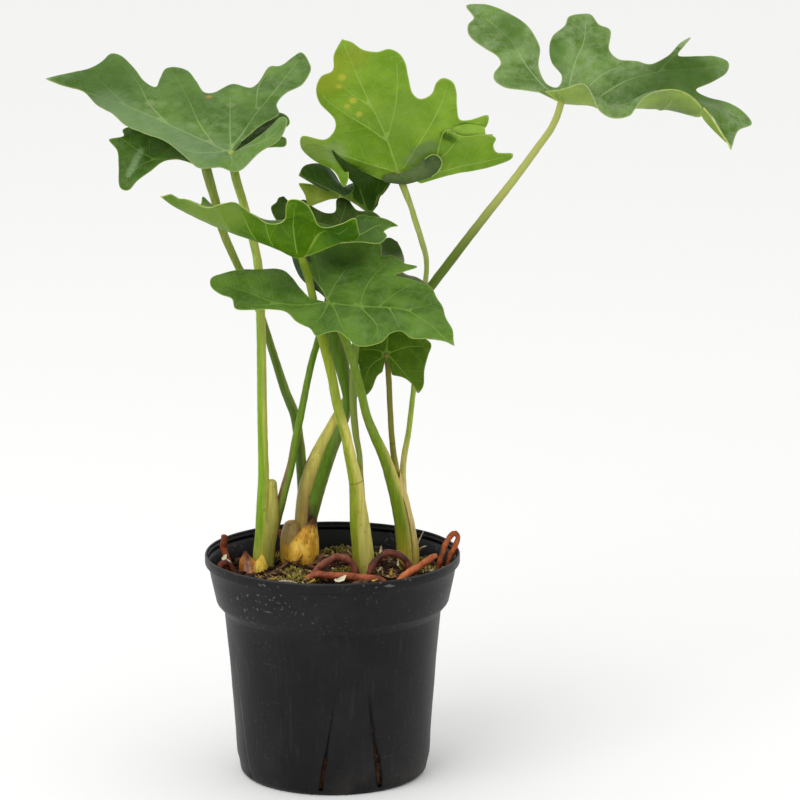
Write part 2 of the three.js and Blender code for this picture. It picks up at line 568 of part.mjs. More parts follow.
// A round tube along [x, y, z, radius] knots with domed ends; extra widens and lengthens it
function tubeSolid(knots, sides, extra = 0) {
  const places = knots.map((knot) => point(knot.slice(0, 3)));
  const curve = new THREE.CatmullRomCurve3(places, false, "centripetal");
  const rings = knots.length - 1;
  const positions = [];
  const across = new THREE.Vector3(1, 0, 0);
  knots.forEach((knot, ring) => {
    const tangent = curve.getTangent(ring / rings);
    across.addScaledVector(tangent, -across.dot(tangent)).normalize();
    const other = tangent.clone().cross(across);
    for (let side = 0; side < sides; side += 1) {
      const angle = (2 * Math.PI * side) / sides;
      const radius = knot[3] + extra;
      const place = places[ring].clone().addScaledVector(across, radius * Math.cos(angle));
      positions.push(...place.addScaledVector(other, radius * Math.sin(angle)).toArray());
    }
  });
  const first = positions.length / 3;
  for (const end of [0, 1]) {
    const reach = DOME * knots[end * rings][3] + extra;
    const outwards = end === 0 ? -reach : reach;
    const dome = places[end * rings].clone().addScaledVector(curve.getTangent(end), outwards);
    positions.push(...dome.toArray());
  }
  const triangles = [];
  for (let side = 0; side < sides; side += 1) {
    const next = (side + 1) % sides;
    for (let ring = 0; ring < rings; ring += 1) {
      const low = ring * sides;
      const high = low + sides;
      triangles.push(low + side, low + next, high + next, low + side, high + next, high + side);
    }
    triangles.push(first, next, side, first + 1, rings * sides + side, rings * sides + next);
  }
  return toSolid(indexedGeometry(positions, triangles));
}

function joinedTubes(tubes, sides) {
  return tubes.map((knots) => tubeSolid(knots, sides)).reduce((whole, tube) => whole.add(tube));
}

// Gentle lumps on a low heap
function soilHeight(x, y) {
  const reach = Math.hypot(x, y) / RIM_RADIUS;
  const lumps = Math.sin(x * 0.31 + 1.3) * Math.cos(y * 0.27 + 0.6) + 0.6 * Math.sin(x * 0.57 - y * 0.49);
  return SOIL_TOP + SOIL_HEAP * (1 - reach * reach) + SOIL_LUMPS * lumps;
}

// The plain hole or trench that a stem or root stands in, deeper than it by the gap
function holeSolid(knots, sides) {
  const sunk = knots.map(([x, y, z, radius]) => [x, y, z > STAND_DEPTH ? z : z - GAP, radius]);
  return tubeSolid(sunk, sides, GAP);
}

// The soil's top in rings out to the wall, then its side down the inside of the pot
function soilSolid() {
  const floor = WALL + SOIL_CLEARANCE;
  const heights = [COLLAR_BOTTOM, SHOULDER_BOTTOM, CREASE_TOP, SLIT_HEIGHT, 8, 2.4, floor];
  const reachAt = (z) => outerRadiusAt(z) - WALL - SOIL_PLAY;
  const rings = Array.from({ length: SOIL_RINGS }, (_, ring) => ({
    radius: (reachAt(SOIL_TOP) * (ring + 1)) / SOIL_RINGS,
    height: soilHeight,
  }));
  for (const z of heights) rings.push({ radius: reachAt(z), height: () => z });

  const positions = [0, 0, soilHeight(0, 0)];
  for (const { radius, height } of rings) {
    for (let side = 0; side < SOIL_SIDES; side += 1) {
      const [x, y] = onCircle(radius, (2 * Math.PI * side) / SOIL_SIDES, 0);
      positions.push(x, y, height(x, y));
    }
  }
  const bottom = positions.length / 3;
  positions.push(0, 0, floor);
  const at = (ring, side) => 1 + ring * SOIL_SIDES + (side % SOIL_SIDES);
  const triangles = [];
  for (let side = 0; side < SOIL_SIDES; side += 1) {
    triangles.push(0, at(0, side), at(0, side + 1));
    for (let ring = 0; ring < rings.length - 1; ring += 1) {
      triangles.push(at(ring, side), at(ring + 1, side), at(ring + 1, side + 1));
      triangles.push(at(ring, side), at(ring + 1, side + 1), at(ring, side + 1));
    }
    triangles.push(at(rings.length - 1, side), bottom, at(rings.length - 1, side + 1));
  }
  let soil = toSolid(indexedGeometry(positions, triangles));
  for (const [grown, sides] of [[STEMS, STEM_SIDES], [ROOTS, ROOT_SIDES]]) {
    const tubes = grown.flatMap((one) => one.tubes);
    for (const knots of tubes) soil = soil.subtract(holeSolid(knots, sides));
  }
  return soil;
}

// A closed sheet round an open mid-surface, offset from it by a step each way, both faces split alike
function thicken(positions, triangles, offset) {
  const count = positions.length / 3;
  const steps = Array.from({ length: count }, (_, i) => offset(i)).flat();
  const upper = positions.map((value, i) => value + steps[i]);
  const lower = positions.map((value, i) => value - steps[i]);
  const edges = new Set();
  const faces = [];
  for (let t = 0; t < triangles.length; t += 3) {
    const [a, b, c] = triangles.slice(t, t + 3);
    faces.push(a, b, c, c + count, b + count, a + count);
    for (const edge of [[a, b], [b, c], [c, a]]) edges.add(edge.join(" "));
  }
  for (const edge of edges) {
    const [from, to] = edge.split(" ").map(Number);
    if (edges.has(`${to} ${from}`)) continue;
    faces.push(to, from, from + count, to, from + count, to + count);
  }
  return indexedGeometry(upper.concat(lower), faces);
}

function curveThrough(knots) {
  return new THREE.CatmullRomCurve3(knots.map(point), false, "centripetal");
}

// How high a blade lies over its own plane: the nearer a guide on its margin or midrib, the more it pulls
function bladeHeight(x, y, guides) {
  let total = 0;
  let pulls = 0;
  for (const guide of guides) {
    const pull = ((guide.x - x) ** 2 + (guide.y - y) ** 2 + GUIDE_SOFTNESS) ** -GUIDE_FALLOFF;
    total += pull * guide.z;
    pulls += pull;
  }
  return total / pulls;
}

// A sheet as thick up and down as keeps it one blade thick across, however steeply it runs
function waveSheet(box, guides, grid) {
  const size = box.getSize(new THREE.Vector2()).addScalar(2 * WAVE_BORDER);
  const centre = box.getCenter(new THREE.Vector2());
  const [columns, rows] = [size.x, size.y].map((length) => Math.ceil(length / grid));
  const middle = new THREE.PlaneGeometry(size.x, size.y, columns, rows).translate(centre.x, centre.y, 0);
  const place = middle.attributes.position;
  for (let i = 0; i < place.count; i += 1) place.setZ(i, bladeHeight(place.getX(i), place.getY(i), guides));
  middle.computeVertexNormals();
  const facing = middle.attributes.normal;
  const offset = (i) => [0, 0, BLADE / 2 / Math.max(STEEPEST, facing.getZ(i))];
  return thicken(Array.from(place.array), Array.from(middle.index.array), offset);
}

// A waved sheet trimmed to the blade's outline
function cutBlade(leaf) {
  const tip = leaf.spine[leaf.spine.length - 1];
  const margins = [leaf.left, leaf.right].map((knots) => curveThrough([...knots, tip]));
  const midrib = curveThrough([[0, 0, 0], ...leaf.spine]);
  const [left, right] = margins.map((margin) => margin.getSpacedPoints(leaf.points));
  const flat = ({ x, y }) => new THREE.Vector2(x, y);
  const outline = [new THREE.Vector2(0, 0), ...left.map(flat), ...right.slice(0, -1).reverse().map(flat)];
  const guides = [...margins, midrib].flatMap((line) => line.getSpacedPoints(GUIDE_POINTS));
  const upright = { depth: CUTTER_HEIGHT, bevelEnabled: false };
  const cutter = new THREE.ExtrudeGeometry(new THREE.Shape(outline), upright).translate(0, 0, -CUTTER_HEIGHT / 2);
  const sheet = waveSheet(new THREE.Box2().setFromPoints(outline), guides, leaf.grid ?? WAVE_GRID);
  return toGeometry(toSolid(sheet).intersect(toSolid(cutter)));
}

// Fans a blade's rulings from feet on the midrib to even steps along each half of the margin
function ruledBlade(leaf) {
  const spine = curveThrough([[0, 0, 0], ...leaf.spine]);
  const tip = leaf.spine[leaf.spine.length - 1];
  const positions = [];
  const feet = [];
  for (let k = 0; k <= leaf.points; k += 1) {
    const past = Math.max(0, (k / leaf.points - BASAL_SHARE) / (1 - BASAL_SHARE));
    if (k === 0 || past > 0) {
      positions.push(...spine.getPointAt(SPINE_REACH * past ** FOOT_EASE).toArray());
    }
    feet.push(positions.length / 3 - 1);
  }

  const triangles = [];
  const addTriangle = (a, b, c, turned) => {
    if (new Set([a, b, c]).size === 3) triangles.push(...(turned ? [a, c, b] : [a, b, c]));
  };
  const tipColumn = [];
  for (const [side, knots] of [leaf.left, leaf.right].entries()) {
    const margin = curveThrough([...knots, tip]);
    let before = null;
    for (const [k, end] of margin.getSpacedPoints(leaf.points).entries()) {
      const foot = point(positions.slice(feet[k] * 3, feet[k] * 3 + 3));
      const atTip = k === leaf.points;
      const column = [feet[k]];
      if (atTip && side === 1) column.push(...tipColumn);
      for (let row = column.length; row <= leaf.rows; row += 1) {
        const part = row / leaf.rows;
        const place = foot.clone().lerp(end, part);
        place.z = foot.z + (end.z - foot.z) * part ** MARGIN_CURL;
        column.push(positions.length / 3);
        positions.push(...place.toArray());
      }
      if (atTip) tipColumn.push(...column.slice(1));
      for (let row = 0; before && row < leaf.rows; row += 1) {
        const [a, b, c, d] = [before[row], before[row + 1], column[row + 1], column[row]];
        addTriangle(a, b, atTip ? d : c, side === 0);
        addTriangle(atTip ? b : a, c, d, side === 0);
      }
      before = column;
    }
  }
  const middle = indexedGeometry(positions, triangles);
  middle.computeVertexNormals();
  const normal = new THREE.Vector3();
  const normals = middle.attributes.normal;
  const offset = (i) => normal.fromBufferAttribute(normals, i).setLength(BLADE / 2).toArray();
  return thicken(positions, triangles, offset);
}

function addBlade(leaf, geometry, color) {
  const mesh = addMesh(leaf.name, geometry, color, 0.5);
  const [heading, pitch, roll] = leaf.turn.map(degrees);
  mesh.position.set(...leaf.at);
  mesh.rotation.set(roll, -pitch, heading, "ZYX");
}

addMesh("pot", toGeometry(potSolid()), BLACK_PLASTIC, 0.55);
addMesh("soil", toGeometry(soilSolid()), DARK_SOIL, 0.95);
for (const { name, tubes, colour } of STEMS) {
  addMesh(name, toGeometry(joinedTubes(tubes, STEM_SIDES)), colour, 0.5);
}
for (const { name, tubes, colour } of ROOTS) {
  addMesh(name, toGeometry(joinedTubes(tubes, ROOT_SIDES)), colour, 0.6);
}
for (const leaf of LEAVES) {
  addBlade(leaf, leaf.folded ? ruledBlade({ ...leaf, ...FOLDED_MESH }) : cutBlade(leaf), leaf.colour);
}
for (const bract of BRACTS) addBlade(bract, ruledBlade({ ...bract, ...BRACT_MESH }), BRACT_YELLOW);

export default group;
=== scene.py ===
# Potted lacy tree philodendron: ten lobed leaves on long stalks, in a black nursery pot filled with soil
import math
import random

import bmesh
import bpy
import numpy
from mathutils import Matrix, Vector, noise
from mathutils.geometry import delaunay_2d_cdt


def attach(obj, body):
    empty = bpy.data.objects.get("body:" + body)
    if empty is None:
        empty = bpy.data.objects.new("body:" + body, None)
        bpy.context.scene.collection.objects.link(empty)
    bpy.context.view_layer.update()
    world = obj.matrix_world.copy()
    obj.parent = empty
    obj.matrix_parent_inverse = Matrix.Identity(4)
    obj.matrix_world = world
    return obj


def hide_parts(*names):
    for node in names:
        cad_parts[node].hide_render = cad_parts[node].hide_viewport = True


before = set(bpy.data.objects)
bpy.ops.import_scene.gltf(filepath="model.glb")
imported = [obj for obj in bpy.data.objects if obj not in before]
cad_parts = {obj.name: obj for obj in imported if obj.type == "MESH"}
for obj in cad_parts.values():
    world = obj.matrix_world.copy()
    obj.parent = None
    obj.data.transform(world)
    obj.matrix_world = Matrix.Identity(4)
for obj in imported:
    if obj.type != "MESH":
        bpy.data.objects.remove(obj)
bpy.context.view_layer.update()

mm = 0.001

# small helpers: knots are millimetres, meshes are metres


def ease(value, low, high):
    share = min(max((value - low) / (high - low), 0), 1)
    return share * share * (3 - 2 * share)


def mix(a, b, share):
    return a + (b - a) * share


def curvePoint(knots, t):
    # a point at t (0 to 1) on a smooth curve through the knots, whose steps may be uneven
    last = len(knots) - 1
    start = min(int(last * t), last - 1)
    weight = last * t - start
    p1, p2 = knots[start], knots[start + 1]
    p0 = knots[start - 1] if start > 0 else p1 * 2 - p2
    p3 = knots[start + 2] if start + 2 <= last else p2 * 2 - p1
    d0, d1, d2 = [max((b - a).length, 1e-4) ** 0.5 for a, b in ((p0, p1), (p1, p2), (p2, p3))]
    slope1 = ((p1 - p0) / d0 - (p2 - p0) / (d0 + d1) + (p2 - p1) / d1) * d1
    slope2 = ((p2 - p1) / d1 - (p3 - p1) / (d1 + d2) + (p3 - p2) / d2) * d1
    w2, w3 = weight ** 2, weight ** 3
    return (p1 * (2 * w3 - 3 * w2 + 1) + slope1 * (w3 - 2 * w2 + weight)
            + p2 * (3 * w2 - 2 * w3) + slope2 * (w3 - w2))


def evenPoints(knots, spacing):
    # evenly spaced points along the smooth curve through the knots; knots may hold more than a place
    count = (len(knots) - 1) * 16
    points = [curvePoint(knots, i / count) for i in range(count + 1)]
    runs = [0]
    for a, b in zip(points, points[1:]):
        runs.append(runs[-1] + (b.xyz - a.xyz).length)
    steps = max(2, round(runs[-1] / spacing))
    found, high = [], 1
    for i in range(steps + 1):
        target = runs[-1] * i / steps
        while high < count and runs[high] < target:
            high += 1
        span = runs[high] - runs[high - 1]
        share = min((target - runs[high - 1]) / span, 1) if span else 0
        found.append(points[high - 1].lerp(points[high], share))
    return found


def turnedAt(place, turn):
    # moves to a place after turning by heading, pitch and roll in degrees
    heading, pitch, roll = (math.radians(v) for v in turn)
    turns = Matrix.Rotation(heading, 4, "Z") @ Matrix.Rotation(-pitch, 4, "Y") @ Matrix.Rotation(roll, 4, "X")
    return Matrix.Translation(place) @ turns


def newGrid(columns, rows, *layers):
    # a flat grid of faces whose vertices carry the named values, and its vertices as [column][row]
    bm = bmesh.new()
    for layer in layers:
        bm.verts.layers.float.new(layer)
    bmesh.ops.create_grid(bm, x_segments=columns, y_segments=rows, size=1)
    bm.verts.ensure_lookup_table()
    ordered = sorted(bm.verts, key=lambda v: (round(v.co.x, 5), round(v.co.y, 5)))
    table = [ordered[i * (rows + 1):(i + 1) * (rows + 1)] for i in range(columns + 1)]
    return bm, table


def weld(bm, gap=0.012):
    # joins points closer than the gap and turns the faces outwards
    bmesh.ops.remove_doubles(bm, verts=bm.verts[:], dist=gap)
    bmesh.ops.recalc_face_normals(bm, faces=bm.faces[:])


def thicken(bm, thickness):
    bmesh.ops.solidify(bm, geom=bm.faces[:], thickness=thickness)
    bmesh.ops.recalc_face_normals(bm, faces=bm.faces[:])


def joinInto(bm, other):
    # moves another bmesh's shape into this one
    loose = bpy.data.meshes.new("loose")
    other.to_mesh(loose)
    other.free()
    bm.from_mesh(loose)
    bpy.data.meshes.remove(loose)


def addPiece(bm, name, nodes, materials, sharpAngle=None):
    # turns the bmesh into a smooth piece in metres that rides on the plant's one body
    bmesh.ops.scale(bm, verts=bm.verts[:], vec=(mm, mm, mm))
    for face in bm.faces:
        face.smooth = True
    if sharpAngle:
        for edge in bm.edges:
            edge.smooth = len(edge.link_faces) != 2 or edge.calc_face_angle(0) < math.radians(sharpAngle)
    mesh = bpy.data.meshes.new(name)
    bm.to_mesh(mesh)
    bm.free()
    for material in materials:
        mesh.materials.append(material)
    piece = bpy.data.objects.new(name, mesh)
    bpy.context.scene.collection.objects.link(piece)
    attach(piece, "root")
    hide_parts(*nodes)
    return piece


# shader helpers


def paint(red, green, blue):
    # a colour as read off a picture (0 to 255), turned into light
    shares = (v / 255 for v in (red, green, blue))
    return tuple(((v + 0.055) / 1.055) ** 2.4 if v > 10 / 255 else v / 12.92 for v in shares)


def newMaterial(name, roughness, gloss=0.25):
    material = bpy.data.materials.new(name)
    material.use_nodes = True
    shader = material.node_tree.nodes["Principled BSDF"]
    shader.inputs["Roughness"].default_value = roughness
    shader.inputs["Specular IOR Level"].default_value = gloss
    return material, material.node_tree, shader


def addNode(tree, kind, inputs=None, **settings):
    # a node with its settings; an input is a value or another node's output
    node = tree.nodes.new("ShaderNode" + kind)
    for key, value in settings.items():
        setattr(node, key, value)
    for socket, value in (inputs or {}).items():
        if isinstance(value, bpy.types.NodeSocket):
            tree.links.new(value, node.inputs[socket])
        else:
            node.inputs[socket].default_value = value
    return node


def maths(tree, operation, a, b=0.0):
    return addNode(tree, "Math", {0: a, 1: b}, operation=operation).outputs[0]


def times(tree, a, b):
    return maths(tree, "MULTIPLY", a, b)


def plus(tree, a, b):
    return maths(tree, "ADD", a, b)


def minus(tree, a, b):
    return maths(tree, "SUBTRACT", a, b)


def over(tree, a, b):
    return maths(tree, "DIVIDE", a, b)


def larger(tree, a, b):
    return maths(tree, "MAXIMUM", a, b)


def unsigned(tree, a):
    return maths(tree, "ABSOLUTE", a)


def remap(tree, value, low, high, newLow=0.0, newHigh=1.0):
    # eases a value from one range into another
    ranges = {"Value": value, "From Min": low, "From Max": high, "To Min": newLow, "To Max": newHigh}
    return addNode(tree, "MapRange", ranges, interpolation_type="SMOOTHSTEP").outputs[0]


def blendColor(tree, share, a, b):
    node = addNode(tree, "Mix", data_type="RGBA")
    for index, value in ((0, share), (6, a), (7, b)):
        if isinstance(value, bpy.types.NodeSocket):
            tree.links.new(value, node.inputs[index])
        elif index:
            node.inputs[index].default_value = (*value[:3], 1)
        else:
            node.inputs[index].default_value = value
    return node.outputs[2]


def ownPlace(tree):
    return addNode(tree, "TexCoord").outputs["Object"]


def carried(tree, name):
    # a value that the mesh's points carry
    return addNode(tree, "Attribute", attribute_name=name).outputs["Fac"]


def stretched(tree, place, scale):
    return addNode(tree, "Mapping", {"Vector": place, "Scale": scale}).outputs["Vector"]


def noiseAt(tree, place, scale, detail=3.0, roughness=0.55):
    inputs = {"Vector": place, "Scale": scale, "Detail": detail, "Roughness": roughness}
    return addNode(tree, "TexNoise", inputs).outputs["Fac"]


def newGroup(name, inputs, outputs):
    # a node group with named sockets: inputs as (name, kind, value), outputs as (name, kind)
    group = bpy.data.node_groups.new(name, "ShaderNodeTree")
    for socket, kind, value in inputs:
        made = group.interface.new_socket(name=socket, in_out="INPUT", socket_type="NodeSocket" + kind)
        if value is not None:
            made.default_value = value
    for socket, kind in outputs:
        group.interface.new_socket(name=socket, in_out="OUTPUT", socket_type="NodeSocket" + kind)
    start = group.nodes.new("NodeGroupInput")
    end = group.nodes.new("NodeGroupOutput")
    return group, start.outputs, end.inputs


def placeGroup(tree, group, inputs):
    node = tree.nodes.new("ShaderNodeGroup")
    node.node_tree = group
    for socket, value in inputs.items():
        if isinstance(value, bpy.types.NodeSocket):
            tree.links.new(value, node.inputs[socket])
        elif isinstance(value, tuple):
            node.inputs[socket].default_value = (*value[:3], 1)
        else:
            node.inputs[socket].default_value = value
    return node.outputs


def dress(tree, shader, color, roughness=None, height=None, strength=0.5, distance=0.0005):
    # gives the shader its colour and, where they vary, its roughness and relief
    tree.links.new(color, shader.inputs["Base Color"])
    if roughness is not None:
        tree.links.new(roughness, shader.inputs["Roughness"])
    if height is not None:
        bump = addNode(tree, "Bump", {"Height": height, "Strength": strength, "Distance": distance})
        tree.links.new(bump.outputs["Normal"], shader.inputs["Normal"])


def fillGroup(end, **made):
    # joins what a group has made to its outputs
    for name, value in made.items():
        end[name].id_data.links.new(value, end[name])


# leaf skin: a node group that draws veins, netting, mottling and a grey bloom that is partly painted sheen,
# from what each blade's mesh carries

white = (1.0, 1.0, 1.0, 1.0)
leafSkin, skinIn, skinOut = newGroup(
    "leafSkin",
    [("Place", "Vector", None), ("Along", "Float", 0.0), ("Near", "Float", 9.0), ("Width", "Float", 0.5),
     ("Open", "Float", 1.0), ("Rim", "Float", 9.0), ("Deep", "Color", white), ("Pale", "Color", white),
     ("Vein", "Color", white), ("Bloom", "Color", white), ("Bloom Amount", "Float", 0.3),
     ("Vein Show", "Float", 0.78), ("Side Show", "Float", 0.22)],
    [("Color", "Color"), ("Roughness", "Float"), ("Height", "Float")])


def fillLeafSkin(tree, start, end):
    # side veins branch off at even steps, netting fills the rest, and the rim and the bloom are paler; the
    # grey bloom is partly a waxy bloom and partly painted sheen
    sideSpacing, sideSlant = 5.4, 0.85
    near, width = start["Near"], start["Width"]
    wander = times(tree, minus(tree, noiseAt(tree, start["Place"], 260, 2), 0.5), 2.2)
    vein = remap(tree, over(tree, near, width), 0.4, 1.35, 1.0, 0.0)
    run = plus(tree, minus(tree, start["Along"], times(tree, near, sideSlant)), wander)
    turns = maths(tree, "FRACT", over(tree, run, sideSpacing))
    off = times(tree, unsigned(tree, minus(tree, turns, 0.5)), sideSpacing)
    side = times(tree, remap(tree, off, 0.1, 0.5, 1.0, 0.0), start["Open"])
    net = addNode(tree, "TexVoronoi", {"Vector": start["Place"], "Scale": 520.0}, feature="DISTANCE_TO_EDGE")
    threads = remap(tree, net.outputs["Distance"], 0.0, 0.12, 1.0, 0.0)
    mottle = noiseAt(tree, start["Place"], 70, 4, 0.6)
    body = blendColor(tree, remap(tree, mottle, 0.35, 0.68), start["Deep"], start["Pale"])
    # grey bloom patches: partly the leaf's waxy bloom, partly painted sheen
    grey = remap(tree, noiseAt(tree, start["Place"], 230, 5, 0.7), 0.3, 0.84)
    grey = times(tree, grey, start["Bloom Amount"])
    body = blendColor(tree, grey, body, start["Bloom"])
    lines = times(tree, side, start["Side Show"])
    lines = larger(tree, lines, times(tree, threads, times(tree, start["Side Show"], 0.3)))
    lines = larger(tree, lines, times(tree, vein, start["Vein Show"]))
    lines = larger(tree, lines, remap(tree, start["Rim"], 0.12, 0.6, 0.8, 0.0))
    color = blendColor(tree, lines, body, start["Vein"])
    matt = plus(tree, times(tree, grey, 0.35), times(tree, mottle, 0.16))
    matt = plus(tree, matt, 0.3)
    relief = plus(tree, times(tree, side, 0.5), times(tree, threads, 0.2))
    relief = plus(tree, relief, times(tree, mottle, 0.5))
    fillGroup(end, Color=color, Roughness=matt, Height=relief)


fillLeafSkin(leafSkin, skinIn, skinOut)


# leaf blades: a waved sheet inside the cut outline, with veins pressed in above and raised below

bladeMake = {
    "mesh": 1.45,           # mm between the sheet's points
    "edge": 0.95,           # mm between points along the margin and the veins
    "thickness": 0.5,
    "rimThickness": 0.45,   # the margin's thickness for the blade's
    "rib": 1.0,             # how far a vein stands out below, for its width
    "groove": 0.3,          # how deep the veins lie above
    "pucker": 0.55,         # how much the blade swells between veins
    "puckerReach": 3.2,
    "ripple": 0.7,          # how much the margin waves
    "rippleReach": 9,
    "rough": 0.12,
    "slant": 1.3,           # how far a vein leans forward as it leaves the midrib
    "lobe": 7,              # from how far off the midrib a tip gets a vein
    "midribTip": 0.16,      # half widths at the far ends of the midrib and of the veins
    "veinTip": 0.1,
    "softness": 0.5,
}
carriedByBlades = {"Along": "along", "Near": "near", "Width": "ribWidth", "Open": "open", "Rim": "rim"}


def insideOutline(places, outline):
    # which places lie inside the closed outline
    inside = numpy.zeros(len(places), bool)
    x, y = places[:, 0], places[:, 1]
    for (ax, ay), (bx, by) in zip(outline, numpy.roll(outline, -1, axis=0)):
        if ay == by:
            continue
        crosses = (ay > y) != (by > y)
        inside ^= crosses & (x < (bx - ax) * (y - ay) / (by - ay) + ax)
    return inside


def nearestOf(places, points):
    # distance to the nearest point, and which one that is
    gaps = numpy.empty(len(places))
    which = numpy.empty(len(places), int)
    for start in range(0, len(places), 1500):
        part = places[start:start + 1500]
        squares = ((part[:, None, :] - points[None, :, :]) ** 2).sum(axis=2)
        which[start:start + 1500] = squares.argmin(axis=1)
        gaps[start:start + 1500] = numpy.sqrt(squares.min(axis=1))
    return gaps, which


def bladeHeights(places, guides):
    # the margin and the midrib lift the sheet, the more the nearer they are
    heights = numpy.empty(len(places))
    for start in range(0, len(places), 1500):
        part = places[start:start + 1500]
        squares = ((part[:, None, :] - guides[None, :, :2]) ** 2).sum(axis=2) + bladeMake["softness"]
        pulls = squares ** -1.5
        heights[start:start + 1500] = (pulls * guides[:, 2]).sum(axis=1) / pulls.sum(axis=1)
    return heights


def lobeTips(margin, midrib):
    # points of the margin that stand further from the midrib than their neighbours do
    reach, which = nearestOf(margin[:, :2], midrib[:, :2])
    window = 7
    tips = []
    for i in range(window, len(margin) - window):
        if reach[i] >= bladeMake["lobe"] and reach[i] == reach[i - window:i + window + 1].max():
            if not tips or (i - tips[-1][0]) > window:
                tips.append((i, reach[i], which[i]))
    return tips


def veinTo(tip, reach, level, midrib, outline):
    # a bowed vein from the midrib to a lobe's tip, from the nearest place that it can reach it from inside
    start = level - reach * bladeMake["slant"] / bladeMake["edge"]
    candidates = [start] + [start + step * turn for step in (5, 10, 15, 22, 30, 40, 55) for turn in (1, -1)]
    for candidate in candidates:
        foot = midrib[int(min(max(candidate, 0), len(midrib) - 6))][:2]
        run = tip - foot
        length = numpy.linalg.norm(run)
        if length < 5:
            continue
        shares = numpy.linspace(0, 1, max(6, int(length / bladeMake["edge"])))[:, None]
        for bow in (0.05, 0.0, -0.05, 0.15):
            backwards = numpy.array([-abs(run[1]), run[0] * numpy.sign(run[1])]) * bow
            control = foot + run * 0.5 + backwards
            line = foot * (1 - shares) ** 2 + control * 2 * shares * (1 - shares) + tip * shares ** 2
            line = line[:-1]
            if insideOutline(line[1:], outline).all():
                return line
    return None


def bladeSheet(midribLine, sideLines, guides, width, drawn=None):
    # a triangulated sheet that follows the outline, the midrib and the veins, with what the leaf skin needs
    midrib = numpy.array(midribLine)
    sides = [numpy.array(line) for line in sideLines]
    outline = numpy.concatenate([[[0, 0]], sides[0][:, :2], sides[1][-2::-1, :2]]) if len(sides) == 2 else \
        numpy.concatenate([midrib[:, :2], sides[0][-2::-1, :2]])
    veins = [(midrib[:-1, :2], width, bladeMake["midribTip"])]
    if drawn is None:
        for side in sides:
            for index, reach, level in lobeTips(side, midrib):
                line = veinTo(side[index, :2], reach, level, midrib, outline)
                if line is not None:
                    veins.append((line, width * min(0.75, 0.35 + reach / 60), bladeMake["veinTip"]))
    for knots in drawn or []:
        line = numpy.array(evenPoints([Vector((*knot, 0)) for knot in knots], bladeMake["edge"]))[:, :2]
        line = line[insideOutline(line, outline)]
        if len(line) > 3:
            veins.append((line, width * min(0.8, 0.4 + len(line) / 70), bladeMake["veinTip"]))
    step = bladeMake["mesh"]
    low, high = outline.min(axis=0), outline.max(axis=0)
    rows = numpy.arange(low[1], high[1], step * 0.866)
    grid = numpy.array([(x + (i % 2) * step / 2, y) for i, y in enumerate(rows)
                        for x in numpy.arange(low[0], high[0], step)])
    grid = grid[insideOutline(grid, outline)]
    lines = numpy.concatenate([outline] + [line for line, _, _ in veins])
    grid = grid[nearestOf(grid, lines)[0] > step * 0.55]
    places = [Vector(p) for p in outline]
    edges = [(i, (i + 1) % len(outline)) for i in range(len(outline))]
    for line, _, _ in veins:
        first = len(places)
        places += [Vector(p) for p in line]
        edges += [(first + i, first + i + 1) for i in range(len(line) - 1)]
    places += [Vector(p) for p in grid]
    spots, _, faces, *_ = delaunay_2d_cdt(places, edges, [], 1, 0.02)
    flat = numpy.array(spots)
    heights = bladeHeights(flat, guides)
    centres = numpy.array([flat[list(face)].mean(axis=0) for face in faces])
    kept = insideOutline(centres, outline)

    # where each point lies along and beside its nearest vein
    fine = [numpy.array([a + (b - a) * k / 3 for a, b in zip(line, line[1:]) for k in range(3)])
            for line, _, _ in veins]
    gaps, alongs, widths = [], [], []
    for line, (_, start, end) in zip(fine, veins):
        run = numpy.concatenate([[0], numpy.cumsum(numpy.linalg.norm(numpy.diff(line, axis=0), axis=1))])
        gap, which = nearestOf(flat, line)
        share = run[which] / run[-1]
        gaps.append(gap)
        alongs.append(run[which])
        widths.append(start + (end - start) * share ** 1.3)
    gaps, alongs, widths = map(numpy.array, (gaps, alongs, widths))
    own = gaps.argmin(axis=0)
    ordered = numpy.sort(gaps, axis=0)
    index = numpy.arange(len(flat))
    near, along, width = gaps[own, index], alongs[own, index], widths[own, index]
    second = ordered[1] if len(ordered) > 1 else ordered[0] + 9
    rim = nearestOf(flat, outline)[0]

    bm = bmesh.new()
    layers = {key: bm.verts.layers.float.new(key) for key in carriedByBlades.values()}
    verts = []
    for i, (x, y) in enumerate(flat):
        vert = bm.verts.new((x, y, heights[i]))
        vert[layers["along"]] = along[i]
        vert[layers["near"]] = near[i]
        vert[layers["ribWidth"]] = width[i]
        between = min(1, max(0, (second[i] - near[i]) / 2.5))
        vert[layers["open"]] = between * ease(near[i], width[i], width[i] + 1)
        vert[layers["rim"]] = rim[i]
        verts.append(vert)
    for face, keep in zip(faces, kept):
        if keep:
            bm.faces.new([verts[i] for i in face])
    bmesh.ops.delete(bm, geom=[v for v in bm.verts if not v.link_faces], context="VERTS")
    return bm


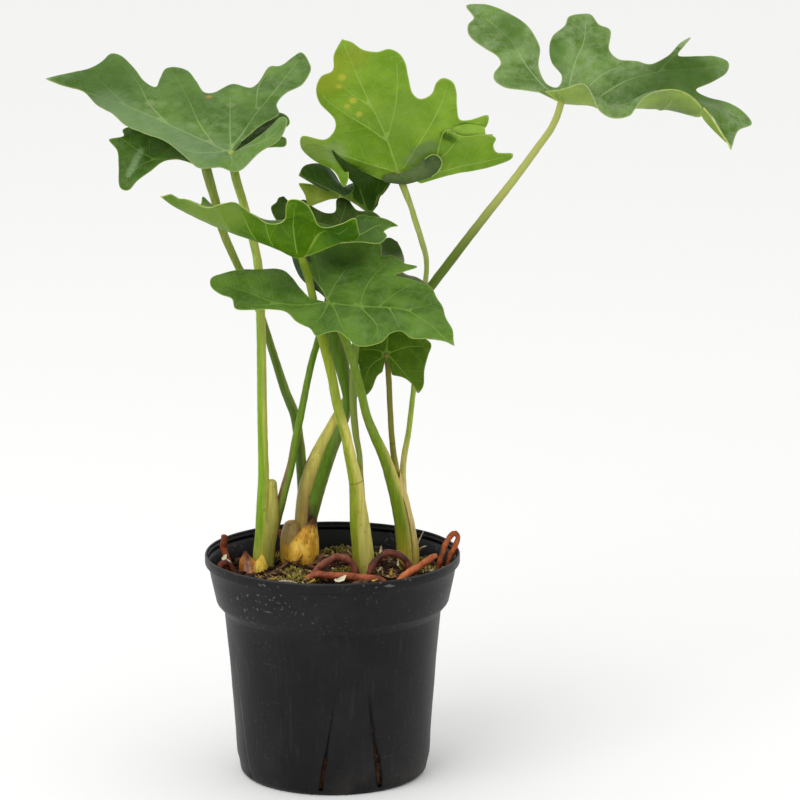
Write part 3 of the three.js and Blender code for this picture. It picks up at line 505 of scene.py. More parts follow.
def giveBody(bm, seed):
    # presses the veins in, swells the blade between them, waves the margin and gives it its thickness
    layer = bm.verts.layers.float
    near, width, rim = (layer[key] for key in ("near", "ribWidth", "rim"))
    bm.normal_update()
    down = bm.verts.layers.float_vector.new("down")
    moves = []
    for vert in bm.verts:
        rib = math.exp(-(vert[near] / (vert[width] * 1.3 + 0.15)) ** 2)
        dip = bladeMake["groove"] * rib * min(1, vert[width])
        away = 1 - math.exp(-vert[near] / bladeMake["puckerReach"])
        swell = bladeMake["pucker"] * away * ease(vert[rim], 0, 5)
        place = vert.co * 0.09 + Vector((seed * 7.1, seed * 3.3, 0))
        wave = noise.noise(place) * bladeMake["ripple"] * (1 - ease(vert[rim], 0, bladeMake["rippleReach"]))
        small = noise.noise(vert.co * 0.3 + Vector((0, seed, 0))) * bladeMake["rough"]
        moves.append((vert, vert.normal * (swell - dip + wave + small)))
        body = bladeMake["thickness"] * mix(bladeMake["rimThickness"], 1, ease(vert[rim], 0, 1.6))
        vert[down] = -vert.normal * (body + bladeMake["rib"] * rib * vert[width])
    for vert, move in moves:
        vert.co += move
    made = bmesh.ops.extrude_face_region(bm, geom=bm.faces[:], use_keep_orig=True)
    under = [item for item in made["geom"] if isinstance(item, bmesh.types.BMFace)]
    for vert in {vert for face in under for vert in face.verts}:
        vert.co += vert[down]
    for face in bm.faces:
        face.material_index = 0 if len(face.verts) == 3 else 2
    for face in under:
        face.material_index = 1
    bmesh.ops.recalc_face_normals(bm, faces=bm.faces[:])
    bm.verts.layers.float_vector.remove(down)
    if bm.calc_volume(signed=True) < 0:
        bmesh.ops.reverse_faces(bm, faces=bm.faces[:])


def makeBlade(leaf, name, materials, seed):
    spine, *sides = ([Vector((*knot, 0)[:3]) for knot in leaf[key]] for key in ("spine", "left", "right"))
    midrib = evenPoints([Vector((0, 0, 0))] + spine, bladeMake["edge"])
    sides = [evenPoints(side + spine[-1:], bladeMake["edge"]) for side in sides]
    width = leaf.get("ribWidth", 0.9)
    if leaf.get("folded"):
        bm = bmesh.new()
        for side in sides:
            half = bladeSheet(midrib, [side], numpy.array(midrib + side), width)
            if half.faces:
                joinInto(bm, half)
        weld(bm, 0.02)
    else:
        bm = bladeSheet(midrib, sides, numpy.array(midrib + sides[0] + sides[1]), width, leaf.get("veins"))
    giveBody(bm, seed)
    bmesh.ops.transform(bm, matrix=turnedAt(leaf["at"], leaf["turn"]), verts=bm.verts[:])
    print(name, "has", len(bm.faces), "faces")
    addPiece(bm, name, [leaf["node"]], materials, 50)


def sideLook(deep, pale, vein, bloom, amount=0.3):
    # the colours of one side of a blade, as the leaf skin takes them
    return {"Deep": paint(*deep), "Pale": paint(*pale), "Vein": paint(*vein), "Bloom": paint(*bloom),
            "Bloom Amount": amount}


def leafMaterial(name, look, spots, gloss):
    # the leaf skin, with soft spots of other colours (real marks, and painted shade, shadow, sheen and
    # highlight) given as radius, colour, strength and centres
    material, tree, shader = newMaterial(name, 0.45, gloss)
    place = ownPlace(tree)
    drawn = {socket: carried(tree, key) for socket, key in carriedByBlades.items()}
    skin = placeGroup(tree, leafSkin, {"Place": place, **drawn, **look})
    color = skin["Color"]
    for radius, tint, strength, centres in spots:
        for centre in centres:
            ends = {0: place, 1: tuple(v * mm for v in centre)}
            away = addNode(tree, "VectorMath", ends, operation="DISTANCE")
            share = remap(tree, away.outputs["Value"], radius * 0.35 * mm, radius * mm, strength, 0.0)
            color = blendColor(tree, share, color, paint(*tint))
    dress(tree, shader, color, skin["Roughness"], skin["Height"], 0.4, 0.0006)
    return material


def edgeMaterial(name, color):
    material, tree, shader = newMaterial(name, 0.5)
    patches = remap(tree, noiseAt(tree, ownPlace(tree), 300), 0.35, 0.65)
    darker = tuple(v * 0.72 for v in paint(*color))
    dress(tree, shader, blendColor(tree, patches, darker, paint(*color)))
    return material


def makeLeaf(leaf, name, seed):
    spots, gloss = leaf.get("spots", []), leaf.get("gloss", 0.12)
    upper = leafMaterial(name + "Upper", leaf["upper"], spots, gloss)
    lower = leafMaterial(name + "Lower", leaf["lower"], spots + leaf.get("lowerSpots", []), gloss)
    makeBlade(leaf, name, [upper, lower, edgeMaterial(name + "Edge", leaf["edge"])], seed)


leafLeftUpper = {
    "node": "leaf_left_upper", "at": (-40, 0, 257), "turn": (150, 15, -24),
    "spine": [(32, -2), (54, -3), (93, 0)],
    "left": [(-4, -5, 3), (-9, -13, 8), (-14, -16, 14), (-18, -14, 15), (-19, -11, 13), (-18, -8, 9),
        (-13, -3, 5), (-10, 7), (-7, 9, -1), (-2, 10), (5, 15), (14, 12), (27, 8), (37, 8), (46, 8),
        (55, 5), (62, 4), (76, -2, -1), (84, 0)],
    "right": [(1, -9), (1, -20), (-1, -32), (4, -38), (5, -47), (3, -54), (4, -61), (7, -67), (16, -73),
        (17, -68), (18, -60), (21, -58), (19, -41), (27, -39), (30, -30), (33, -28), (41, -33), (48, -37),
        (54, -36), (56, -33), (54, -26), (52, -20), (58, -21), (67, -26), (77, -30), (81, -29), (81, -23),
        (83, -15), (88, -8)],
    "veins": [[(32, -2), (47, -9), (59, -18), (72, -25)], [(9, -1), (22, -9), (34, -19), (46, -28),
        (53, -33)], [(1, -1), (9, -12), (16, -22), (23, -32)], [(1, -1), (5, -19), (8, -34), (11, -53),
        (14, -69)], [(3, 1), (8, 5), (14, 8), (26, 7)], [(0, 0), (-6, -4), (-13, -9), (-17, -12)], [(0, 1),
        (-4, 5), (-5, 8)], [(54, -3), (66, -8), (80, -14)], [(9, -30), (18, -46), (20, -56)]],
    # painted shade and sheen: the large dark spots darken the left and the far half, the large pale
    # grey-green spots lighten the near half
    "spots": [(1.8, (176, 138, 66), 0.9, [(-50.3, 33.6, 275.1)]), (3, (124, 142, 84), 0.7,
        [(-74.2, 30, 273.1), (-63.1, 28.6, 272.5)]), (2.6, (122, 140, 84), 0.7, [(-41.1, 28.3, 272.5)]),
        (26, (48, 80, 10), 0.5, [(-95, 40, 279)]), (15, (114, 138, 98), 0.45, [(-79.7, 16.8, 266.1),
        (-65.1, 8.7, 261.8), (-51.7, 0.3, 257.6), (-91.5, 27, 272)]), (15, (66, 98, 30), 0.45,
        [(-92.7, 50.1, 283.8), (-64.6, 41.7, 279.3), (-57.2, 28, 272.5), (-30.8, 24.4, 270.6)])],
    "ribWidth": 0.42, "upper": sideLook((62, 96, 20), (92, 128, 44), (134, 158, 96), (130, 152, 104), 0.58),
    "lower": sideLook((104, 138, 50), (128, 160, 64), (172, 190, 110), (150, 170, 110), 0.25),
    "edge": (168, 184, 96),
}
makeLeaf(leafLeftUpper, "leafLeftUpper", 3)

leafLeftBehind = {
    "node": "leaf_left_behind", "at": (-51, 16, 251), "turn": (97, 25, -3), "spine": [(43, 0)],
    "left": [(-3, 3, -1), (2, 7, -1), (7, 12, -2), (9, 17, -4), (7, 22, -7), (4, 28, -10), (1, 32, -12),
        (3, 35, -12), (13, 35, -8), (20, 35, -5), (27, 38, -4), (26, 32, -2), (31, 32, -2), (32, 26, -1),
        (31, 19), (42, 16), (47, 9), (39, 5)],
    "right": [(-3, -3), (-2, -12, 1), (3, -21, 3), (1, -27, 5), (-2, -32, 7), (3, -33, 7), (9, -30, 6),
        (12, -35, 8), (17, -35, 8), (22, -32, 7), (26, -25, 5), (25, -21, 3), (38, -19, 2), (43, -16, 1),
        (37, -11), (45, -6)],
    "veins": [[(1, 2), (8, 12), (12, 22), (9, 30), (5, 33)], [(12, 20), (19, 27), (26, 34)], [(2, -2),
        (8, -12), (5, -22), (2, -30)], [(8, -12), (14, -22), (16, -31)], [(14, 2), (26, 10), (30, 17)]],
    # painted highlight: the row of pale spots is the gloss along a vein
    "spots": [(1.9, (150, 174, 130), 0.32, [(-78.4, 31.3, 253.2)]), (2.4, (150, 174, 130), 0.32,
        [(-79.1, 30.1, 251.7), (-79.9, 28.9, 250.3), (-80.6, 27.6, 248.8), (-81.3, 26.4, 247.3),
        (-82.1, 25.2, 245.9)]), (1.9, (150, 174, 130), 0.32, [(-82.8, 24, 244.4)])],
    "ribWidth": 0.42, "upper": sideLook((44, 76, 10), (74, 108, 28), (110, 138, 56), (120, 144, 100)),
    "lower": sideLook((112, 140, 40), (140, 168, 58), (178, 196, 100), (150, 170, 110), 0.2),
    "edge": (176, 190, 84),
}
makeLeaf(leafLeftBehind, "leafLeftBehind", 7)

leafCentreUpright = {
    "node": "leaf_centre_upright", "at": (27, 28, 245), "turn": (-126, 57, 31),
    "spine": [(19, 1), (45, 0), (70, 0, -1)],
    "left": [(-8, 7), (-8, 13), (-8, 22), (-9, 30), (-9, 40), (-8, 46), (-6, 47), (-3, 41), (1, 41),
        (4, 43), (7, 41, -1), (11, 31, -3), (15, 27, -3), (13, 32, 1), (9, 40, 2), (14, 43, 2), (15, 35, 1),
        (17, 32), (24, 33), (31, 35), (36, 35), (39, 32), (38, 29), (33, 25), (32, 20), (35, 18), (44, 19),
        (51, 20), (56, 19), (59, 16), (59, 11), (62, 6), (67, 3)],
    "right": [(-3, -6), (2, -11), (8, -16), (11.5, -19, -1), (8, -18.5, -5), (4, -22, -6), (11, -24, -3),
        (16, -31, 1), (23, -34, 2), (28, -32, 2), (25, -23), (28, -18), (33, -16), (43, -19), (50, -18),
        (55, -14), (56, -9), (63, -6), (67, -3, -1)],
    "veins": [[(19, 2), (33, 10), (46, 15), (53, 17)], [(18, 0), (25, -4), (34, -10), (42, -15), (49, -17)],
        [(2, 3), (13, 14), (20, 21), (27, 27), (36, 33)], [(1, -1), (7, -8), (15, -16), (20, -22),
        (26, -29)], [(0, 1), (-4, 14), (-5, 28), (-6, 44)], [(-2, 8), (4, 22), (11, 30), (13, 40)],
        [(35, 0), (45, -6), (52, -8)]],
    # the small yellow spots are marks on the leaf; the grey-green spots low on the blade and the whitish ones
    # at the lower left are painted sheen, the two dark green ones painted shadow under the rolled edge
    "lowerSpots": [(2.2, (196, 196, 66), 0.9, [(4.4, 5.9, 286.9)]), (1.9, (190, 190, 66), 0.9,
        [(3.1, 7.9, 283)]), (2.3, (190, 192, 66), 0.9, [(8.7, 11.2, 276.9)]), (1.7, (180, 184, 66), 0.9,
        [(6.3, 12.6, 274.3)]), (1.8, (176, 182, 66), 0.9, [(11.1, 14.3, 270.8)]), (14, (150, 160, 44), 0.6,
        [(-3, 6, 288)]), (9, (150, 158, 46), 0.5, [(9, 2, 297)]), (5, (104, 124, 84), 0.6,
        [(35, 22.7, 254)]), (4.5, (104, 124, 84), 0.6, [(39.6, 21, 257)]), (4.5, (112, 132, 92), 0.5,
        [(31.7, 24.9, 250.4)]), (3.6, (44, 74, 8), 0.75, [(46.4, 17, 261.5)]), (3, (54, 86, 12), 0.6,
        [(49, 17.6, 260)]), (16, (128, 160, 62), 0.45, [(27, 18, 270)]), (7, (138, 160, 100), 0.6,
        [(1, 22, 254)]), (9, (140, 160, 90), 0.5, [(-9, 24.4, 254.6)])],
    "ribWidth": 0.42, "upper": sideLook((44, 74, 18), (66, 100, 34), (112, 136, 64), (110, 132, 84), 0.4),
    "lower": sideLook((106, 146, 24), (132, 168, 44), (158, 186, 88), (134, 160, 88)),
    "edge": (160, 180, 76),
}
makeLeaf(leafCentreUpright, "leafCentreUpright", 11)

leafCentreFolded = {
    "node": "leaf_centre_folded", "at": (16, 32, 227), "turn": (-171, -3, -20),
    "spine": [(9, 0, 8), (19, 0, 14), (30, 0, 21)],
    "left": [(-3, -3, 2), (-5, -10, 5), (-1, -15, 8), (6, -13, 8), (10, -11, 8), (14, -13, 14),
        (18, -12, 18), (23, -10, 20), (27, -7, 21)],
    "right": [(-4, -1, 7), (-8, -2, 12), (-9, -4, 18), (-3, -7, 22), (4, -8, 22), (11, -9, 22), (8, -6, 15),
        (7, -3, 11), (11, -1, 9), (19, 2, 13), (25, 3, 18)],
    "gloss": 0.04, "ribWidth": 0.5, "folded": True,
    # painted shade: both sides are dark for the shade this leaf lies in under the upright leaf
    "upper": sideLook((32, 58, 4), (46, 76, 10), (88, 112, 40), (84, 104, 50), 0.12),
    "lower": sideLook((32, 64, 0), (46, 80, 2), (92, 122, 34), (80, 106, 36), 0.08), "edge": (120, 144, 52),
}
makeLeaf(leafCentreFolded, "leafCentreFolded", 16)

leafFrontBoat = {
    "node": "leaf_front_boat", "at": (-12, -14, 217), "turn": (-170, -1, -5),
    "spine": [(13, -2, 6), (28, -2, 12), (44, -1, 20), (56, 0, 28)],
    "left": [(-16, 10, 8), (-21, 15, 11), (-20, 19, 17), (-18, 23, 22), (-13, 19, 18), (-7, 16, 16),
        (-5, 16, 17), (-2, 21, 23), (1, 25, 28), (5, 27, 31), (8, 26, 31), (9, 23, 28), (9, 17, 21),
        (11, 14, 18), (15, 13, 18), (19, 13, 21), (22, 13, 23), (26, 16, 27), (28, 17, 29), (34, 13, 27),
        (38, 10, 25), (43, 9, 27), (47, 6, 28), (50, 5, 28), (51, 5, 30)],
    "right": [(-13, -4, 4), (-25, -6, 4), (-30, -5, 3), (-34, -5, 3), (-36, -6, 6), (-35, -8, 7),
        (-38, -8, 9), (-41, -8, 9), (-38, -11, 11), (-35, -12, 12), (-30, -14, 12), (-26, -16, 12),
        (-20, -14, 7), (-12, -14, 5), (-3, -16, 7), (6, -16, 6), (13, -14, 9), (20, -15, 12), (26, -15, 15),
        (33, -14, 19), (37, -14, 24), (39, -9, 21), (46, -4, 22)],
    "veins": [[(2, 3), (4, 8), (5, 15), (6, 23)], [(-2, 2), (-8, 6), (-13, 12), (-17, 18)], [(18, 1),
        (21, 4), (24, 8), (27, 13)], [(11, 1), (14, 5), (16, 10)], [(28, 1), (32, 5), (35, 9)], [(-3, -2),
        (-12, -6), (-24, -9), (-35, -10)], [(6, -2), (10, -12)], [(20, -3), (28, -9), (35, -12)]],
    # painted shade: the dark green spot on the right-hand part
    "spots": [(20, (128, 154, 58), 0.6, [(-47, -27.7, 238)]), (13, (40, 80, 0), 0.6, [(5, -25, 229)])],
    "ribWidth": 0.42, "upper": sideLook((50, 80, 14), (72, 104, 30), (112, 138, 60), (100, 124, 84)),
    "lower": sideLook((58, 100, 0), (82, 122, 2), (134, 164, 58), (108, 138, 36), 0.14),
    "edge": (184, 200, 110),
}
makeLeaf(leafFrontBoat, "leafFrontBoat", 20)

leafFrontBroad = {
    "node": "leaf_front_broad", "at": (-1, -16, 199), "turn": (-25, -14, 27),
    "spine": [(9, 2, 1), (19, 5, 2), (29, 9, 2), (39, 8, 1), (57, 0, 1)],
    "left": [(-5, 5), (-12, 10), (-22, 17), (-27, 22), (-25, 27), (-19, 34, -1), (-11, 39), (-5, 43),
        (1, 42), (5, 36), (8, 38), (15, 36), (21, 36, 1), (18, 31, 1), (15, 28), (23, 28, 1), (32, 27, 1),
        (36, 24), (41, 20), (45, 15), (52, 8, 1), (55, 3, 1)],
    "right": [(-8, -1), (-15, 3), (-21, 7), (-26, 9), (-34, 5), (-41, 1), (-47, -5), (-49, -9), (-46, -14),
        (-41, -15, -1), (-36, -15, -1), (-32, -19, -2), (-26, -18, -1), (-21, -14, -1), (-13, -12, -1),
        (-7, -14, -2), (0, -15, -2), (4, -17, -3), (7, -14, -2), (11, -12, -1), (16, -13, -2),
        (21, -14, -3), (26, -11, -3), (29, -8, -2), (30, -3, -1), (33, 0, -1), (38, -1, -2), (44, 1, -1),
        (50, 2, -1)],
    "veins": [[(-1, 1), (-3, 10), (-4, 20), (-5, 31), (-4, 39)], [(-2, 2), (-7, 7), (-13, 15), (-20, 24)],
        [(-2, -1), (-10, -6), (-20, -9), (-33, -9), (-45, -10)], [(0, 0), (1, -6), (0, -12)], [(1, 0),
        (6, -4), (10, -8), (15, -11)], [(10, 4), (16, 1), (24, -3), (25, -9)], [(23, 7), (28, 4), (32, 1)],
        [(12, 5), (9, 14), (8, 24), (9, 34)], [(20, 6), (21, 16), (24, 26)], [(30, 9), (34, 15), (37, 20)],
        [(-16, -8), (-24, -13), (-30, -17)]],
    # painted shadow: the dark spot where the boat-shaped leaf above shades this blade
    "spots": [(14, (38, 66, 0), 0.75, [(5, 10, 214)])], "ribWidth": 0.42,
    "upper": sideLook((60, 94, 18), (92, 128, 38), (116, 146, 64), (118, 142, 90), 0.4),
    "lower": sideLook((104, 138, 44), (128, 160, 60), (170, 190, 104), (146, 168, 106), 0.2),
    "edge": (166, 186, 92),
}
makeLeaf(leafFrontBroad, "leafFrontBroad", 24)

leafMiddleDark = {
    "node": "leaf_middle_dark", "at": (0, 20, 219), "turn": (144, 31, -35), "spine": [(29, 0)],
    "left": [(2, 4, -1), (8, 8, -2), (15, 10, -2), (22, 10, -1), (28, 8, -1), (29, 7), (29, 4), (30, 2)],
    "right": [(-3, -2, -1), (-8, -9, -2), (-9, -16, -2), (-8, -21, -1), (-2, -21), (3, -17), (11, -18),
        (13, -15), (9, -10), (11, -7), (17, -5), (22, -5), (24, 0)],
    "gloss": 0.04, "ribWidth": 0.42,
    # painted shade: both sides are dark for the shade this leaf lies in behind the front leaves
    "upper": sideLook((42, 62, 12), (62, 86, 28), (96, 116, 54), (98, 116, 74), 0.4),
    "lower": sideLook((60, 96, 24), (84, 118, 36), (128, 152, 76), (110, 136, 80), 0.2),
    "edge": (128, 150, 70),
}
makeLeaf(leafMiddleDark, "leafMiddleDark", 28)

leafRightHigh = {
    "node": "leaf_right_high", "at": (92, 2, 277), "turn": (-14, -14, 43),
    "spine": [(13, 4), (30, 9), (50, 11, 1), (71, 0, 1)],
    "left": [(-10, 2), (-17, 1), (-24, 0), (-29, 2), (-30, 5), (-29, 10), (-31, 13), (-38, 16), (-46, 20),
        (-48, 25), (-47, 29), (-52, 34), (-46, 37), (-39, 37), (-30, 35), (-22, 30), (-17, 24), (-14, 14),
        (-8, 7), (-4, 7), (-4, 13), (-10, 18), (-13, 24), (-14, 31), (-11, 38), (-11, 43), (-7, 46),
        (-3, 47), (2, 43), (7, 42), (10, 32), (15, 29), (22, 30, 1), (28, 30, 1), (33, 36, 1), (36, 45, 1),
        (39, 49, 1), (37, 38, 1), (45, 41, 1), (52, 43, 1), (57, 42, 1), (58, 37, 1), (54, 30, 1),
        (49, 24, 1), (54, 22, 1), (64, 22, 1), (73, 18, 1), (75, 15, 1), (71, 10, 1)],
    "right": [(-6, -3, 8), (3, -5, 17), (10, -5, 23), (15, -9, 22), (20, -14, 21), (25, -15, 20),
        (31, -11, 19), (32, -5, 17), (34, 0, 19), (38, 3, 21), (45, 6, 22), (51, 8, 19), (58, 8, 13),
        (63, 7, 5)],
    "veins": [[(-5, 3), (-10, 6), (-19, 13), (-29, 23), (-43, 31)], [(2, 2), (0, 12), (-1, 22), (-1, 32),
        (-4, 44)], [(6, 2), (10, 14), (13, 20), (18, 27)], [(12, 5), (22, 18), (32, 27), (44, 33),
        (55, 39)], [(32, 27), (35, 36), (38, 45)], [(30, 9), (44, 14), (58, 17), (72, 16)], [(13, 4),
        (18, -3), (21, -10)], [(38, 10), (44, 8)]],
    "spots": [(26, (40, 72, 2), 0.6, [(142, 6, 285)]), (16, (52, 84, 10), 0.5, [(140, 12.1, 288.9)]), (11,
        (64, 96, 26), 0.4, [(123.7, 5.1, 283.8)]), (8, (66, 100, 30), 0.6, [(71.8, 29.4, 304.6)]), (7,
        (66, 100, 30), 0.5, [(73.7, 24.1, 299.5)]), (8, (62, 98, 30), 0.6, [(89, 20, 295.5)]), (6,
        (62, 98, 30), 0.5, [(90.5, 14.3, 290)])],
    "ribWidth": 0.42,
    "upper": sideLook((72, 104, 30), (104, 138, 60), (146, 168, 112), (148, 166, 124), 0.66),
    "lower": sideLook((110, 140, 44), (138, 166, 58), (168, 188, 90), (150, 166, 100), 0.25),
    "edge": (184, 200, 96),
}
makeLeaf(leafRightHigh, "leafRightHigh", 32)

leafLowHanging = {
    "node": "leaf_low_hanging", "at": (22, 12, 172), "turn": (80, 65, 9), "spine": [(21, 0)],
    "left": [(-7, 1), (-9, 3), (-15, 5), (-18, 8), (-13, 9), (-5, 11), (0, 14), (6, 12), (11, 14), (14, 10),
        (14, 5), (18, 4)],
    "right": [(-8, -3), (-9, -8), (-12, -12), (-15, -14), (-12, -16), (-5, -16), (1, -17), (6, -18),
        (10, -13), (14, -10), (13, -6), (19, -4)],
    "veins": [[(0, 0), (-5, 6), (-13, 8)], [(1, 0), (2, 6), (1, 12)], [(0, -1), (-6, -7), (-13, -13)],
        [(1, -1), (4, -8), (5, -16)], [(9, 0), (12, 5), (11, 11)], [(9, 0), (12, -6), (10, -11)]],
    "ribWidth": 0.42, "upper": sideLook((58, 88, 0), (80, 112, 14), (116, 142, 58), (104, 126, 60), 0.15),
    "lower": sideLook((70, 104, 24), (92, 126, 40), (140, 162, 80), (120, 140, 80), 0.2),
    "edge": (120, 146, 60),
}
makeLeaf(leafLowHanging, "leafLowHanging", 36)

leafMiddleSmall = {
    "node": "leaf_middle_small", "at": (14, 12, 198), "turn": (46, 46, 35), "spine": [(26, 0)],
    "left": [(-3, 2), (-2, 7), (4, 8), (8, 5), (13, 8), (17, 6), (22, 6), (26, 4)],
    "right": [(-1, -4), (0, -11), (4, -17), (9, -20), (14, -23), (16, -15), (15, -10), (16, -6), (19, -7),
        (23, -4)],
    "gloss": 0.04, "spots": [(9, (42, 64, 16), 0.92, [(25, 24, 216)])], "ribWidth": 0.4,
    # painted shade: the greyed, dull colours stand for the shade this leaf lies in behind the front leaves
    "upper": sideLook((84, 96, 62), (112, 122, 88), (132, 142, 104), (134, 136, 118), 0.5),
    "lower": sideLook((84, 104, 56), (108, 126, 74), (150, 160, 104), (130, 140, 106), 0.2),
    "edge": (130, 140, 100),
}
makeLeaf(leafMiddleSmall, "leafMiddleSmall", 40)

print("leaves are made")


# leaf stalks: round tubes with sheathing bases, streaked lengthways and coloured by height

stalkMake = {
    "sides": 22, "spacing": 1.6, "dome": 0.35, "waver": 0.12,
    "sheathColumns": 22, "sheathSpacing": 1.5, "sheathThickness": 0.5,
}


def addTube(bm, knots, sides, spacing, waver, seed=0, facing=0):
    # adds a domed tube along knots of place and radius; it carries how far round each point lies
    line = evenPoints([Vector(k) for k in knots], spacing)
    rings = [(line[0].xyz, line[0].w * 0.02), (line[0].xyz, line[0].w * 0.7)] + [(p.xyz, p.w) for p in line]
    last = line[-1]
    lean = (last.xyz - line[-2].xyz).normalized()
    for share in (0.5, 0.85, 1.0):
        narrow = math.sqrt(max(0.0004, 1 - share ** 2))
        rings.append((last.xyz + lean * last.w * stalkMake["dome"] * share * 2, last.w * narrow))
    tube, table = newGrid(sides, len(rings) - 1, "around")
    around = tube.verts.layers.float["around"]
    front = Vector((math.cos(math.radians(facing)), math.sin(math.radians(facing)), 0))
    across = Vector((1, 0, 0))
    for row, (centre, radius) in enumerate(rings):
        behind, ahead = rings[max(row - 1, 0)][0], rings[min(row + 1, len(rings) - 1)][0]
        tangent = (ahead - behind).normalized() if (ahead - behind).length > 1e-6 else lean
        across = (across - tangent * across.dot(tangent)).normalized()
        other = tangent.cross(across)
        for side in range(sides + 1):
            angle = 2 * math.pi * (side % sides) / sides
            out = across * math.cos(angle) + other * math.sin(angle)
            bumps = noise.noise((centre + out * radius) * 0.35 + Vector((seed, 0, 0)))
            table[side][row].co = centre + out * (radius + waver * bumps * min(1, radius))
            table[side][row][around] = out.dot(front)
    weld(tube)
    joinInto(bm, tube)


def addSheath(bm, knots, opening, facing, seed, drop, ragged=0.25):
    # a thin scale wrapped part of the way round a stalk, with its edges lifted and its top cut slanting
    line = evenPoints([Vector(k) for k in knots], stalkMake["sheathSpacing"])
    columns = stalkMake["sheathColumns"]
    sheath, table = newGrid(columns, len(line) - 1)
    for row, place in enumerate(line):
        up = row / (len(line) - 1)
        for column in range(columns + 1):
            turn = column / columns * 2 - 1
            angle = math.radians(facing) + turn * math.radians(opening) * mix(1, 0.72, up)
            lift = 0.25 * abs(turn) ** 4 + ragged * noise.noise(Vector((column * 0.3, row * 0.2, seed)))
            torn = noise.noise(Vector((column * 0.9, 3, seed)))
            fall = (drop * abs(turn) ** 2 + ragged * 4 * torn) * up ** 3
            out = Vector((math.cos(angle), math.sin(angle), 0))
            table[column][row].co = place.xyz + out * (place.w + lift) - Vector((0, 0, fall))
    thicken(sheath, stalkMake["sheathThickness"])
    joinInto(bm, sheath)


stalkSkin, stalkIn, stalkOut = newGroup(
    "stalkSkin",
    [("Place", "Vector", None), ("Base", "Color", white), ("Middle", "Color", white),
     ("Top", "Color", white), ("Mark", "Color", white), ("Side", "Color", white), ("Round", "Float", 0.0),
     ("Side Height", "Float", 0.1), ("Base Height", "Float", 0.09), ("Middle Height", "Float", 0.13),
     ("Bloom Amount", "Float", 0.2)],
    [("Color", "Color"), ("Roughness", "Float"), ("Height", "Float")])


def fillStalkSkin(tree, start, end):
    # fine streaks run up the stalk, with pale bloom in patches and small brown marks low down
    long = stretched(tree, start["Place"], (1, 1, 0.07))
    streaks = noiseAt(tree, long, 900, 4, 0.6)
    broad = noiseAt(tree, long, 260, 2)
    height = addNode(tree, "SeparateXYZ", {"Vector": start["Place"]}).outputs["Z"]
    rough = times(tree, minus(tree, noiseAt(tree, start["Place"], 90), 0.5), 0.014)
    wavy = plus(tree, height, rough)
    low = remap(tree, wavy, start["Base Height"], start["Middle Height"])
    body = blendColor(tree, low, start["Base"], start["Middle"])
    body = blendColor(tree, remap(tree, height, 0.15, 0.23), body, start["Top"])
    # the side turned to the facing takes the side colour below its height: a real brown or olive strip on
    # some stalks, painted light on the pale cream sides of others
    edge = plus(tree, start["Round"], times(tree, minus(tree, broad, 0.5), 0.9))
    high = minus(tree, start["Side Height"], wavy)
    beside = times(tree, remap(tree, edge, -0.1, 0.8), remap(tree, high, -0.01, 0.012))
    body = blendColor(tree, beside, body, start["Side"])
    shade = blendColor(tree, remap(tree, streaks, 0.3, 0.7), (0.66, 0.68, 0.6), (1.14, 1.14, 1.1))
    lit = addNode(tree, "Mix", {0: 0.7}, data_type="RGBA", blend_type="MULTIPLY")
    tree.links.new(body, lit.inputs[6])
    tree.links.new(shade, lit.inputs[7])
    bloom = times(tree, remap(tree, broad, 0.42, 0.7), start["Bloom Amount"])
    body = blendColor(tree, bloom, lit.outputs[2], (0.33, 0.37, 0.2))
    flecks = remap(tree, noiseAt(tree, start["Place"], 420, 2), 0.62, 0.72)
    flecks = times(tree, flecks, remap(tree, height, 0.1, 0.17, 0.45, 0.05))
    color = blendColor(tree, flecks, body, start["Mark"])
    matt = plus(tree, times(tree, broad, 0.3), 0.28)
    fillGroup(end, Color=color, Roughness=matt, Height=plus(tree, streaks, flecks))


fillStalkSkin(stalkSkin, stalkIn, stalkOut)


def stalkMaterial(name, look):
    material, tree, shader = newMaterial(name, 0.42, 0.16)
    place = ownPlace(tree)
    inputs = {"Place": place, "Round": carried(tree, "around"), "Bloom Amount": look["bloom"],
              "Side Height": look.get("sideTo", 0) * mm, "Base Height": look["from"] * mm,
              "Middle Height": look["to"] * mm, "Side": paint(*look.get("side", look["base"]))}
    inputs.update({key.title(): paint(*look[key]) for key in ("base", "middle", "top", "mark")})
    skin = placeGroup(tree, stalkSkin, inputs)
    color = skin["Color"]
    parts = addNode(tree, "SeparateXYZ", {"Vector": place}).outputs
    height = minus(tree, parts["Z"], times(tree, parts["X"], look.get("lean", 0)))
    wander = times(tree, minus(tree, noiseAt(tree, place, 240), 0.5), 0.002)
    for ring in look.get("rings", []):
        off = unsigned(tree, minus(tree, plus(tree, height, wander), ring * mm))
        color = blendColor(tree, remap(tree, off, 0.0001, 0.0005, 0.6, 0.0), color, paint(*look["mark"]))
    for low, high, tint in look.get("bands", []):
        color = blendColor(tree, remap(tree, parts["Z"], low * mm, high * mm), color, paint(*tint))
    dress(tree, shader, color, skin["Roughness"], skin["Height"], 0.3, 0.0004)
    return material


